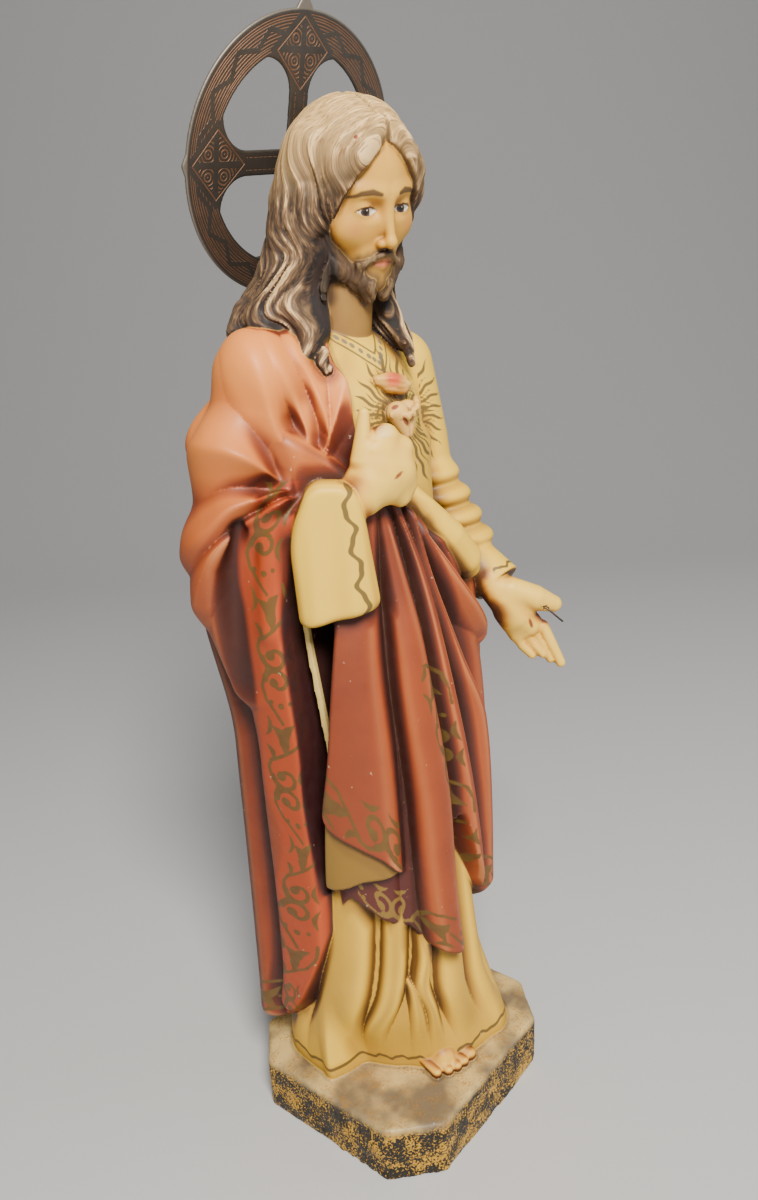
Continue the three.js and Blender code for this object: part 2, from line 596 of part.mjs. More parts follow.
function gather(points, faces, around) {
  const used = [];
  around.forEach((list, v) => {
    if (list.length) used.push(v);
  });
  const renumbered = new Map(used.map((v, i) => [v, i]));
  const kept = [...new Set(used.flatMap((v) => around[v]))];
  return {
    points: used.flatMap((v) => [points[3 * v], points[3 * v + 1], points[3 * v + 2]]),
    triangles: kept.flatMap((f) => [faces[3 * f], faces[3 * f + 1], faces[3 * f + 2]].map((v) => renumbered.get(v))),
  };
}

// The cross product of a triangle's sides, with its length and one corner.
function facing(points, a, b, c) {
  const [ux, uy, uz] = [points[b] - points[a], points[b + 1] - points[a + 1], points[b + 2] - points[a + 2]];
  const [vx, vy, vz] = [points[c] - points[a], points[c + 1] - points[a + 1], points[c + 2] - points[a + 2]];
  const normal = [uy * vz - uz * vy, uz * vx - ux * vz, ux * vy - uy * vx];
  return [...normal, length(...normal)];
}

function addPlane(points, faces, f, quadrics) {
  const [i, j, k] = [3 * faces[3 * f], 3 * faces[3 * f + 1], 3 * faces[3 * f + 2]];
  const [nx, ny, nz, area] = facing(points, i, j, k);
  if (area < 1e-12) return;
  const [a, b, c] = [nx / area, ny / area, nz / area];
  const d = -(a * points[i] + b * points[i + 1] + c * points[i + 2]);
  const plane = [a * a, a * b, a * c, a * d, b * b, b * c, b * d, c * c, c * d, d * d];
  for (const v of [i, j, k]) for (let n = 0; n < 10; n++) quadrics[(v / 3) * 10 + n] += plane[n] * area;
}

// The place for a folded edge that keeps nearest to its planes, and what it costs.
function findBest(quadrics, points, a, b, best) {
  const q = [];
  for (let n = 0; n < 10; n++) q.push(quadrics[10 * a + n] + quadrics[10 * b + n]);
  const [ax, ay, az] = [points[3 * a], points[3 * a + 1], points[3 * a + 2]];
  const [bx, by, bz] = [points[3 * b], points[3 * b + 1], points[3 * b + 2]];
  let [x, y, z] = [(ax + bx) / 2, (ay + by) / 2, (az + bz) / 2];
  const span = length(ax - bx, ay - by, az - bz);
  const [m0, m1, m2] = [q[4] * q[7] - q[5] * q[5], q[5] * q[2] - q[1] * q[7], q[1] * q[5] - q[4] * q[2]];
  const determinant = q[0] * m0 + q[1] * m1 + q[2] * m2;
  if (Math.abs(determinant) > 1e-4 * (q[0] + q[4] + q[7]) ** 3) {
    const [m4, m5, m8] = [q[0] * q[7] - q[2] * q[2], q[1] * q[2] - q[0] * q[5], q[0] * q[4] - q[1] * q[1]];
    const [sx, sy, sz] = [
      -(m0 * q[3] + m1 * q[6] + m2 * q[8]) / determinant,
      -(m1 * q[3] + m4 * q[6] + m5 * q[8]) / determinant,
      -(m2 * q[3] + m5 * q[6] + m8 * q[8]) / determinant,
    ];
    if (length(sx - x, sy - y, sz - z) < 1.2 * span) [x, y, z] = [sx, sy, sz];
  }
  best[0] = x;
  best[1] = y;
  best[2] = z;
  const cost =
    q[0] * x * x + q[4] * y * y + q[7] * z * z + q[9] +
    2 * (q[1] * x * y + q[2] * x * z + q[5] * y * z + q[3] * x + q[6] * y + q[8] * z);
  best[3] = cost + 1e-3 * span * span;
}

// True if moving a vertex to a new place would turn one of its faces over or squeeze it flat.
function turnsOver(points, faces, list, moved, gone, [x, y, z]) {
  const [oldX, oldY, oldZ] = [points[3 * moved], points[3 * moved + 1], points[3 * moved + 2]];
  const set = (px, py, pz) => {
    points[3 * moved] = px;
    points[3 * moved + 1] = py;
    points[3 * moved + 2] = pz;
  };
  for (const f of list) {
    const [i, j, k] = [faces[3 * f], faces[3 * f + 1], faces[3 * f + 2]];
    if (i === gone || j === gone || k === gone) continue;
    const before = facing(points, 3 * i, 3 * j, 3 * k);
    set(x, y, z);
    const after = facing(points, 3 * i, 3 * j, 3 * k);
    set(oldX, oldY, oldZ);
    const agree = before[0] * after[0] + before[1] * after[1] + before[2] * after[2];
    if (after[3] < 1e-3 || agree < 0.3 * before[3] * after[3]) return true;
  }
  return false;
}

// A binary heap of arrays, lowest first number on top.
function push(heap, item) {
  let at = heap.length;
  heap.push(item);
  while (at > 0 && heap[(at - 1) >> 1][0] > item[0]) {
    heap[at] = heap[(at - 1) >> 1];
    at = (at - 1) >> 1;
  }
  heap[at] = item;
}

function pop(heap) {
  const top = heap[0];
  const item = heap.pop();
  if (!heap.length) return top;
  let at = 0;
  for (;;) {
    let child = 2 * at + 1;
    if (child >= heap.length) break;
    if (child + 1 < heap.length && heap[child + 1][0] < heap[child][0]) child++;
    if (heap[child][0] >= item[0]) break;
    heap[at] = heap[child];
    at = child;
  }
  heap[at] = item;
  return top;
}

const wasm = await Module();
wasm.setup();

function solidFrom(geometry) {
  const bare = geometry.index ? geometry.toNonIndexed() : geometry.clone();
  bare.deleteAttribute("normal");
  bare.deleteAttribute("uv");
  const merged = mergeVertices(bare, 1e-4);
  return new wasm.Manifold(
    new wasm.Mesh({
      numProp: 3,
      vertProperties: new Float32Array(merged.attributes.position.array),
      triVerts: new Uint32Array(merged.index.array),
    }),
  );
}

function solidOfMesh({ points, triangles }) {
  return new wasm.Manifold(
    new wasm.Mesh({ numProp: 3, vertProperties: new Float32Array(points), triVerts: new Uint32Array(triangles) }),
  );
}

function geometryOf(solid) {
  const mesh = solid.getMesh();
  const geometry = new THREE.BufferGeometry();
  const positions = [];
  for (let v = 0; v < mesh.numVert; v++)
    for (let axis = 0; axis < 3; axis++) positions.push(mesh.vertProperties[v * mesh.numProp + axis]);
  geometry.setAttribute("position", new THREE.Float32BufferAttribute(positions, 3));
  geometry.setIndex([...mesh.triVerts]);
  return geometry.toNonIndexed();
}

const haloMiddle = new THREE.Vector3(0, 31.8, 410.2).multiplyScalar(SCALE).add(new THREE.Vector3(0, 0, BASE_HEIGHT));
const haloTurn = new THREE.Euler(Math.PI / 2 + HALO_TILT / DEGREES, 0, HALO_TURN / DEGREES, "ZYX");
const thumbTip = new THREE.Vector3(64, -51, 220).multiplyScalar(SCALE).add(new THREE.Vector3(0, 0, BASE_HEIGHT));
const wireWay = new THREE.Vector3(0.36, -0.76, -0.54).normalize();

function basePrism() {
  const [right, front, cut] = [BASE_WIDTH / 2, BASE_DEPTH / 2, BASE_CHAMFER];
  const outline = [];
  for (const [sx, sy] of [[1, -1], [1, 1], [-1, 1], [-1, -1]]) {
    const corner = [[sx * (right - cut), sy * front], [sx * right, sy * (front - cut)]];
    outline.push(...(sx * sy < 0 ? corner : corner.reverse()));
  }
  const shape = new THREE.Shape(outline.map(([x, y]) => new THREE.Vector2(x, y)));
  return new THREE.ExtrudeGeometry(shape, { depth: BASE_HEIGHT, bevelEnabled: false });
}

// A round rod from one point along a way, as a closed solid.
function rod(from, way, length, radius, sides) {
  const geometry = new THREE.CylinderGeometry(radius, radius, length, sides);
  geometry.translate(0, length / 2, 0);
  geometry.applyQuaternion(new THREE.Quaternion().setFromUnitVectors(new THREE.Vector3(0, 1, 0), way));
  return geometry.translate(from.x, from.y, from.z);
}

function figureSolid() {
  const carved = PARTS.map((part) => {
    const light = thin(largestBody(isosurface(sample(part.distance, part))), part.triangles);
    return solidOfMesh({ ...light, points: light.points.map((value, i) => value * SCALE + (i % 3 === 2 ? BASE_HEIGHT : 0)) });
  });
  return carved.reduce((cast, part) => cast.add(part), solidFrom(basePrism()));
}

// The halo is drawn flat: a rim, four arms that flare into it and pointed tips, less four windows.
function haloOutline() {
  const shape = new THREE.Shape();
  const tipHalf = 0.075;
  const tips = [[0, HALO_SIDE_TIP], [0.5, HALO_TOP_TIP], [1, HALO_SIDE_TIP], [1.5, HALO_SIDE_TIP]];
  const steps = 14;
  tips.forEach(([quarter, length], n) => {
    const at = quarter * Math.PI;
    const tip = HALO_RADIUS + length;
    if (n === 0) shape.moveTo(tip, 0);
    else shape.lineTo(tip * Math.cos(at), tip * Math.sin(at));
    for (let i = 0; i <= steps; i++) {
      const along = at + tipHalf + (Math.PI / 2 - 2 * tipHalf) * (i / steps);
      shape.lineTo(HALO_RADIUS * Math.cos(along), HALO_RADIUS * Math.sin(along));
    }
  });
  return shape;
}

function haloWindow(quarter) {
  const inner = HALO_RADIUS - HALO_RIM;
  const half = HALO_ARM / 2;
  const side = half + HALO_FLARE;
  const end = Math.sqrt(inner ** 2 - side ** 2);
  const widens = end - HALO_FLARE;
  const corner = half + HALO_FILLET;
  const path = new THREE.Path();
  path.moveTo(half, corner);
  path.absarc(side, widens, HALO_FLARE, Math.PI, Math.PI / 2, true);
  path.absarc(0, 0, inner, Math.atan2(end, side), Math.atan2(side, end), true);
  path.absarc(widens, side, HALO_FLARE, 0, -Math.PI / 2, true);
  path.absarc(corner, corner, HALO_FILLET, -Math.PI / 2, -Math.PI, true);
  const turned = path.getPoints(WINDOW_STEPS).map((point) => point.rotateAround(new THREE.Vector2(), (quarter * Math.PI) / 2));
  return new THREE.Path(turned);
}

function haloPlate() {
  const shape = haloOutline();
  for (let quarter = 0; quarter < 4; quarter++) shape.holes.push(haloWindow(quarter));
  const plate = new THREE.ExtrudeGeometry(shape, { depth: HALO_THICKNESS, bevelEnabled: false, curveSegments: 1 });
  return plate.translate(0, 0, -HALO_THICKNESS / 2).rotateZ(HALO_LEAN / DEGREES);
}

const placed = (geometry) =>
  geometry.applyQuaternion(new THREE.Quaternion().setFromEuler(haloTurn)).translate(...haloMiddle);
const pinWay = new THREE.Vector3(0, 0, 1).applyEuler(haloTurn);

function haloSolid() {
  return solidFrom(placed(haloPlate())).add(solidFrom(rod(haloMiddle, pinWay, PIN_LENGTH, PIN_RADIUS, 12)));
}

// The room that the halo, its pin and the thumb's wire need in the figure.
function roomInFigure() {
  const disc = new THREE.CylinderGeometry(
    HALO_RADIUS + HALO_TOP_TIP, HALO_RADIUS + HALO_TOP_TIP, HALO_THICKNESS + 2 * CLEARANCE, 40,
  ).rotateX(Math.PI / 2);
  const pin = rod(haloMiddle, pinWay, PIN_LENGTH + CLEARANCE, PIN_RADIUS + CLEARANCE, 12);
  return [solidFrom(placed(disc)), solidFrom(pin), solidFrom(wireRod(CLEARANCE, 0))];
}

function wireRod(wider, shown) {
  const from = thumbTip.clone().addScaledVector(wireWay, -WIRE_SUNK - wider);
  return rod(from, wireWay, WIRE_SUNK + wider + (shown || WIRE_SHOWN), WIRE_RADIUS + wider, 8);
}

function named(name, solid, color, roughness, metalness) {
  const mesh = new THREE.Mesh(geometryOf(solid), new THREE.MeshStandardMaterial({ color, roughness, metalness }));
  mesh.name = name;
  return mesh;
}

const statue = new THREE.Group();
const figure = roomInFigure().reduce((cast, room) => cast.subtract(room), figureSolid());
statue.add(named("figure", figure, 0xc4764f, 0.6, 0));
statue.add(named("halo", haloSolid(), 0x4a3a30, 0.45, 0.8));
statue.add(named("thumb_wire", solidFrom(wireRod(0, WIRE_SHOWN)), 0x55504a, 0.4, 0.9));

export default statue;
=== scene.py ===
# Looks of the sacred heart statue: the painted cast figure, the engraved halo and the wire that
# shows at the broken thumb, on a plain floor in soft studio light. The carving is worked out in
# millimetres in the figure's own frame, where z starts at the top of the base.
import math

import bpy
import numpy as np
from mathutils import Matrix, Vector


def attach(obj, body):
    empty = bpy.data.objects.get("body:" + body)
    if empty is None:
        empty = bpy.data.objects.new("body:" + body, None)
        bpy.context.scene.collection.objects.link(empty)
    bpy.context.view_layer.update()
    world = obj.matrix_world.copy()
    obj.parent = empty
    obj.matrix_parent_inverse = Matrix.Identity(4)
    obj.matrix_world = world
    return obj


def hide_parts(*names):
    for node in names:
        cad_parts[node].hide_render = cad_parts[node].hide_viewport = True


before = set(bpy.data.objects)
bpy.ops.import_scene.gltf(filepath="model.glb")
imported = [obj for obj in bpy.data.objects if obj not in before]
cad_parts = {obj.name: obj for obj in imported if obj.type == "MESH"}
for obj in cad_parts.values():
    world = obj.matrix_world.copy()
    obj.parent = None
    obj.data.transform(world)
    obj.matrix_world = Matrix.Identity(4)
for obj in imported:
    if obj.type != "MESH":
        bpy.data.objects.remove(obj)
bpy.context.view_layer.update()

BASE_WIDTH = 122
BASE_DEPTH = 114
BASE_HEIGHT = 28
BASE_CHAMFER = 20
DEGREES = 180 / math.pi

# The photograph looks from the front right, along x and y by these shares, and down by this slope
LOOK_X, LOOK_Y = 0.775, 0.632
LOOK_COS, LOOK_SIN = 0.95, 0.312


# Numbers

# A drawing or painted shape holds millimetres inside its edge, and this well outside it
OUTSIDE = -20


def smooth_step(low, high, value):
    share = np.clip((value - low) / (high - low), 0, 1)
    return share * share * (3 - 2 * share)


def smooth_min(a, b, reach):
    h = np.maximum(reach - np.abs(a - b), 0) / reach
    return np.minimum(a, b) - h * h * (reach / 4)


def smooth_max(a, b, reach):
    return -smooth_min(-a, -b, reach)


def turn(angle):
    return angle - 360 * np.round(angle / 360)


def length(*parts):
    return np.sqrt(sum(part * part for part in parts))


def only(where, inside):
    return np.where(where, inside, OUTSIDE)


def nowhere(like):
    return np.full(like.shape, OUTSIDE, dtype=np.float32)


class Profile:
    """A smooth curve through [place, value] knots, flat beyond both ends, or closed on itself."""

    SAMPLES = 4096

    def __init__(self, knots, ring=False):
        knots = [list(knot) for knot in knots]
        if ring:
            knots.append([knots[0][0] + 360, knots[0][1]])
        places, values = np.array(knots, dtype=float).T
        last = len(places) - 1
        before = np.maximum(np.arange(last + 1) - 1, 0)
        after = np.minimum(np.arange(last + 1) + 1, last)
        slopes = (values[after] - values[before]) / (places[after] - places[before])
        at = np.linspace(places[0], places[-1], self.SAMPLES + 1)
        low = np.clip(np.searchsorted(places, at, side="right") - 1, 0, last - 1)
        span = places[low + 1] - places[low]
        t = (at - places[low]) / span
        curve = (
            (2 * t**3 - 3 * t**2 + 1) * values[low]
            + (t**3 - 2 * t**2 + t) * slopes[low] * span
            + (3 * t**2 - 2 * t**3) * values[low + 1]
            + (t**3 - t**2) * slopes[low + 1] * span
        )
        self.table = curve.astype(np.float32)
        self.step = np.diff(self.table, append=self.table[-1])
        self.low = places[0]
        self.scale = self.SAMPLES / (places[-1] - places[0])
        self.ring = ring

    def __call__(self, place):
        away = place - self.low
        if self.ring:
            away = away % 360
        at = np.clip(away * self.scale, 0, self.SAMPLES - 0.001)
        index = at.astype(np.int32)
        return self.table[index] + self.step[index] * (at - index).astype(np.float32)


def value_noise(seed, *coordinates):
    """Smooth noise from -1 to 1 with a cell of 1 in each coordinate."""
    cells = [np.floor(c).astype(np.int64) for c in coordinates]
    shares = [(c - cell).astype(np.float32) for c, cell in zip(coordinates, cells)]
    eased = [s * s * (3 - 2 * s) for s in shares]
    total = 0
    for corner in range(2 ** len(cells)):
        key = np.full(cells[0].shape, seed * 7919 + 17, dtype=np.int64)
        weight = 1
        for axis, (cell, ease) in enumerate(zip(cells, eased)):
            bit = corner >> axis & 1
            key = (key * 73856093 + (cell + bit) * (19349663 + 2 * axis)) & 0x7FFFFFFF
            key = key ^ (key >> 13)
            weight = weight * (ease if bit else 1 - ease)
        key = (key * 1274126177) & 0x7FFFFFFF
        total = total + weight * ((key >> 8 & 0xFFFF) / 32767.5 - 1).astype(np.float32)
    return total


class Spots:
    """Points of the figure's frame, with the coordinates that the carving asks for."""

    def __init__(self, x, y, z):
        self.x, self.y, self.z = x, y, z

    def take(self, index):
        return Spots(self.x[index], self.y[index], self.z[index])

    def near(self, low, high):
        inside = (self.x > low[0]) & (self.x < high[0]) & (self.y > low[1])
        inside &= (self.y < high[1]) & (self.z > low[2]) & (self.z < high[2])
        return np.flatnonzero(inside)

    def across(self):
        """How far to the right each point lies, as seen from the front right."""
        return LOOK_Y * self.x - LOOK_X * self.y

    def deep(self):
        """How far away each point lies, as seen from there."""
        return LOOK_X * self.x + LOOK_Y * self.y


def ellipsoid(p, centre, radii):
    px, py, pz = p.x - centre[0], p.y - centre[1], p.z - centre[2]
    rx, ry, rz = radii
    near = length(px / rx, py / ry, pz / rz)
    slope = length(px / rx**2, py / ry**2, pz / rz**2)
    return near * (near - 1) / np.maximum(slope, 1e-6)


def limb(p, start, end, radius_start, radius_end):
    """A round limb between two points, with how far along it each spot lies."""
    start, end = np.array(start[:3], dtype=np.float32), np.array(end[:3], dtype=np.float32)
    way = end - start
    px, py, pz = p.x - start[0], p.y - start[1], p.z - start[2]
    t = np.clip((px * way[0] + py * way[1] + pz * way[2]) / float(way @ way), 0, 1)
    away = length(px - way[0] * t, py - way[1] * t, pz - way[2] * t)
    return away - (radius_start + (radius_end - radius_start) * t)


def chain(p, knots):
    nearest = limb(p, knots[0], knots[1], knots[0][3], knots[1][3])
    for start, end in zip(knots[1:], knots[2:]):
        nearest = np.minimum(nearest, limb(p, start, end, start[3], end[3]))
    return nearest


def box_of(knots):
    low = [min(k[axis] - k[3] for k in knots) for axis in range(3)]
    high = [max(k[axis] + k[3] for k in knots) for axis in range(3)]
    return low, high


REACH = 9


def join(cast, p, shape, low, high, blend):
    """Joins a shape on to the cast, where its box lets it reach."""
    index = p.near([v - REACH for v in low], [v + REACH for v in high])
    if index.size:
        cast[index] = smooth_min(cast[index], shape(p.take(index)), blend)
    return cast


# The standing body and its cloth

body_middle = Profile([[0, -1], [20, 2], [60, 5], [120, 6], [220, 8], [280, 12], [345, 18]])
body_width = Profile([
    [0, 44], [20, 41], [60, 39], [120, 40], [170, 42], [220, 42], [250, 40], [280, 41], [312, 44],
    [330, 38], [345, 24], [356, 14],
])
body_depth = Profile([
    [0, 41], [20, 38], [60, 36], [120, 35], [170, 34], [220, 32], [250, 30], [280, 30], [310, 30.5],
    [330, 26], [345, 18], [356, 12],
])
SQUARENESS = 2.2
STEEPNESS = 0.65
FOLD_END = 12


def round_body(p):
    """The angle round the body, 0 in front and 90 on its right, and the reach from its middle."""
    forward = p.y - body_middle(p.z)
    return np.arctan2(-p.x, -forward) * DEGREES, length(p.x, forward)


def body_radius(angle, z):
    radians = angle / DEGREES
    across = np.abs(np.sin(radians)) / body_width(z)
    deep = np.abs(np.cos(radians)) / body_depth(z)
    return (across**SQUARENESS + deep**SQUARENESS) ** (-1 / SQUARENESS)


def fold_height(folds, angle, z):
    """Ridges that run down the cloth, each a row of [z, angle, half width, height] knots."""
    height = np.zeros_like(z)
    for middle, half, out, foot, top, flatness in folds:
        index = np.flatnonzero((z < top + FOLD_END) & (z > foot - FOLD_END))
        if not index.size:
            continue
        zs = z[index]
        away = np.abs(turn(angle[index] - middle(zs))) / half(zs)
        ends = smooth_step(top + FOLD_END, top, zs) * smooth_step(foot - FOLD_END, foot, zs)
        ridge = out(zs) * (1 - np.minimum(away, 1) ** flatness) * ends
        height[index] = np.maximum(height[index], ridge)
    return height


def folds_of(rows):
    made = []
    for row in rows:
        flatness = row[0] if isinstance(row[0], (int, float)) else 2
        knots = sorted(knot for knot in row if isinstance(knot, list))
        middle, half, out = (Profile([[k[0], k[n]] for k in knots]) for n in (1, 2, 3))
        made.append((middle, half, out, knots[0][0], knots[-1][0], flatness))
    return made


TUNIC_FOLDS = folds_of([
    [3, [110, 77, 18, 6], [80, 78, 20, 8], [49, 84, 20, 9], [20, 96, 18, 8], [0, 100, 15, 4]],
    [[110, 44, 9, 4], [80, 45, 10, 6.5], [49, 51, 10, 7], [25, 66, 10, 6], [6, 76, 9, 3]],
    [[56, 41, 3, 1], [49, 36, 6, 4], [34, 34, 7, 5], [14, 34, 8, 3]],
    [[100, 26, 7, 3], [67, 26, 8, 7], [50, 30, 8, 6.5], [34, 25, 7, 6], [10, 22, 7, 3]],
    [[100, 2, 14, 5], [56, 3, 15, 8], [39, 4, 15, 9], [22, -2, 14, 8], [4, -8, 12, 4]],
    [[110, -22, 11, 5], [50, -25, 12, 8], [0, -30, 12, 6]],
    [[110, -50, 13, 5], [0, -56, 13, 7]],
    [[110, -80, 14, 5], [0, -84, 15, 7]],
    [[110, -108, 14, 4], [0, -112, 14, 6]],
    [[110, -134, 14, 4], [0, -140, 15, 5]],
    [[110, -160, 15, 4], [0, -166, 15, 5]],
    [[110, 168, 14, 4], [0, 164, 15, 6]],
    [[110, 138, 14, 4], [0, 134, 14, 7]],
    [[110, 110, 13, 4], [40, 118, 12, 6], [0, 122, 12, 6]],
])
TUNIC_TOP = 300
HEM_SPREADS = 62
hem_reach = Profile([
    [-180, 46], [-140, 50], [-110, 52], [-76, 56], [-56, 53], [-40, 54], [-28, 52], [-20, 47], [-8, 43],
    [4, 41], [20, 38], [30, 36], [44, 32], [56, 31.5], [77, 32], [86, 35], [90, 44], [94, 51], [102, 51],
    [112, 53], [124, 56], [133, 56], [142, 53], [160, 48],
], ring=True)


def tunic(p):
    angle, reach = round_body(p)
    out = body_radius(angle, p.z) + fold_height(TUNIC_FOLDS, angle, p.z)
    spread = smooth_step(HEM_SPREADS, 0, p.z) ** 2
    out = out + (hem_reach(angle) - out) * spread
    return smooth_max((reach - out) * STEEPNESS, p.z - TUNIC_TOP, 6)


# The mantle: a front panel over its cream lining, over a lower tier that goes round the body

MANTLE_FOLDS = folds_of([
    [3, [160, 60, 19, 5], [95, 60, 19, 5]],
    [[284, 34, 5, 4], [259, 30, 9, 6], [228, 26, 13, 9], [200, 24, 15, 11], [150, 18, 16, 12],
     [100, 16, 15, 12], [62, 12, 14, 12]],
    [[282, 26, 4, 4], [249, 10, 7, 6], [219, 5, 8, 8], [190, 0, 9, 9], [137, -12, 9, 9],
     [84, -20, 11, 9]],
    [[270, 10, 5, 5], [240, 2, 6, 7], [205, -11, 8, 9], [172, -26, 10, 11], [80, -40, 13, 10]],
    [[262, 2, 6, 6], [250, -8, 8, 9], [232, -22, 10, 12], [215, -38, 13, 13], [206, -48, 14, 12]],
    [[256, -20, 12, 6], [190, -44, 13, 8], [76, -62, 14, 10]],
    [[246, -50, 15, 9], [68, -86, 15, 9]],
    [[240, -76, 16, 8], [58, -110, 15, 9]],
    [[262, -108, 16, 6], [50, -132, 15, 9]],
    [[290, -140, 16, 5], [42, -156, 15, 9]],
    [[312, -168, 16, 5], [36, -182, 15, 9]],
    [[312, 160, 15, 5], [28, 154, 13, 9]],
    [[262, 134, 14, 6], [150, 135, 14, 9], [20, 134, 14, 11]],
    [6, [284, 82, 8, 3], [266, 88, 12, 7], [240, 95, 15, 8], [150, 98, 18, 9.5], [60, 99, 18.5, 10.5],
     [34, 104, 18.5, 10]],
])
PANEL_FOLD = folds_of([
    [4, [285, 40, 7, 4], [228, 58, 18, 9], [176, 62, 24, 12], [130, 63, 26, 13], [105, 63, 26, 13]],
])
MANTLE_OUT = 5
PANEL_LINING = 2
COVER = 0.4
slit_middle = Profile([[104, 82], [119, 82], [150, 81], [174, 78.5], [203, 76.5], [236, 73.7], [262, 70]])
slit_half = Profile([[100, 0.5], [119, 2.6], [150, 5.6], [174, 7.5], [203, 9], [236, 10.3], [262, 8]])
SLIT_TOP = 262
SLIT_FOOT = 104
SLIT_DEPTH = 12

mantle_hem = Profile([
    [-180, 36], [-150, 44], [-120, 54], [-90, 62], [-60, 68], [-44, 69], [-34, 74], [-24, 86],
    [-14, 108], [-6, 128], [-3, 78], [0, 69], [5, 66], [15, 69], [28, 76], [36, 84], [44, 87], [50, 91],
    [58, 98], [70, 103], [80, 86], [83, 80], [89, 66], [100, 46], [113, 29], [129, 18], [150, 26],
], ring=True)
panel_hem = Profile([[36, 112], [43, 119], [50, 128], [59, 134.5], [72, 143], [76, 150], [84, 160]])
lining_hem = Profile([[34, 117], [42, 116.8], [58, 117], [68, 113], [77, 110.8], [84, 112]])
mantle_top = Profile([
    [-180, 342], [-150, 326], [-110, 280], [-80, 238], [-48, 240], [-20, 260], [0, 270], [20, 279],
    [38, 285], [60, 300], [90, 318], [130, 338],
], ring=True)
hang_right = Profile([
    [-180, 2], [-120, 1], [0, 0], [60, 0], [84, -1], [100, 1], [112, 4], [118, 6], [128, 12], [142, 9],
    [158, 3],
], ring=True)
hang_elbow = Profile([
    [-180, 0], [60, 0], [74, 5], [90, 7], [110, 9], [128, 12], [145, 8], [165, 2],
], ring=True)
hang_left = Profile([
    [-180, 1], [-120, 3], [-80, 3], [-46, 1], [-24, 1], [0, 0], [120, 0],
], ring=True)


def mantle_sheets(p):
    """The mantle, and the lining that shows under its front panel."""
    angle, reach = round_body(p)
    body = body_radius(angle, p.z)
    fade = smooth_step(345, 300, p.z)
    hang = hang_right(angle) + hang_elbow(angle) * smooth_step(165, 245, p.z)
    hang = hang + hang_left(angle) * smooth_step(262, 200, p.z)
    out = body + (MANTLE_OUT + hang + fold_height(MANTLE_FOLDS, angle, p.z)) * fade
    cloth = smooth_max((reach - out) * STEEPNESS, (mantle_hem(angle) - p.z) * STEEPNESS, 2)
    panel_out = body + fold_height(PANEL_FOLD, angle, p.z)
    front = np.maximum(np.abs(turn(angle - 61)) - 24, 0) * 0.5
    panel = (reach - panel_out - MANTLE_OUT) * STEEPNESS + front
    lining = smooth_max(panel + PANEL_LINING, (lining_hem(angle) - p.z) * STEEPNESS, 1)
    lining = np.maximum(lining, p.z - 200)
    panel = smooth_max(panel, (panel_hem(angle) - p.z) * STEEPNESS, 1.5)
    cloth = smooth_min(cloth, panel, 1)
    hem = np.where(front < 1, np.maximum(mantle_hem(angle), panel_hem(angle)), mantle_hem(angle))
    cloth = np.minimum(cloth, np.maximum(tunic(p) - COVER, (hem + 3 - p.z) * STEEPNESS))
    cloth = smooth_max(cloth, (p.z - mantle_top(angle)) * STEEPNESS, 3)
    return cloth, lining


def slit_cut(p):
    """The deep gap between the front panel and the hanging border."""
    angle, reach = round_body(p)
    across = (np.abs(turn(angle - slit_middle(p.z))) - slit_half(p.z)) / DEGREES * reach
    deep = body_radius(angle, p.z) - SLIT_DEPTH - reach
    ends = np.maximum(p.z - SLIT_TOP, SLIT_FOOT - p.z)
    return smooth_max(smooth_max(across, deep, 3), ends, 2)


STRIP = {"half": 1.3, "out": 9, "foot": 170, "top": 262}
strip_angle = Profile([[170, 76.5], [205, 78.5], [235, 80], [262, 79]])


def strip_out(angle, z):
    return body_radius(angle, z) + STRIP["out"] * smooth_step(STRIP["foot"] - 30, STRIP["top"], z)


def strip(p):
    """The cream edge of cloth that hangs in the gap below the sleeve."""
    angle, reach = round_body(p)
    across = np.abs(turn(angle - strip_angle(p.z))) / DEGREES * reach - STRIP["half"]
    ends = np.maximum(p.z - STRIP["top"], STRIP["foot"] - p.z)
    return smooth_max(np.maximum(across, reach - strip_out(angle, p.z)), ends, 2)


def strip_rim(p):
    """How far inside the lit rim of that edge each spot lies."""
    angle, reach = round_body(p)
    return reach - strip_out(angle, p.z) + 2.2


def seen(across, deep, z, radius):
    """A knot by how it lies from the front right: across to the right and deep away from there."""
    return [LOOK_Y * across + LOOK_X * deep, -LOOK_X * across + LOOK_Y * deep, z, radius]


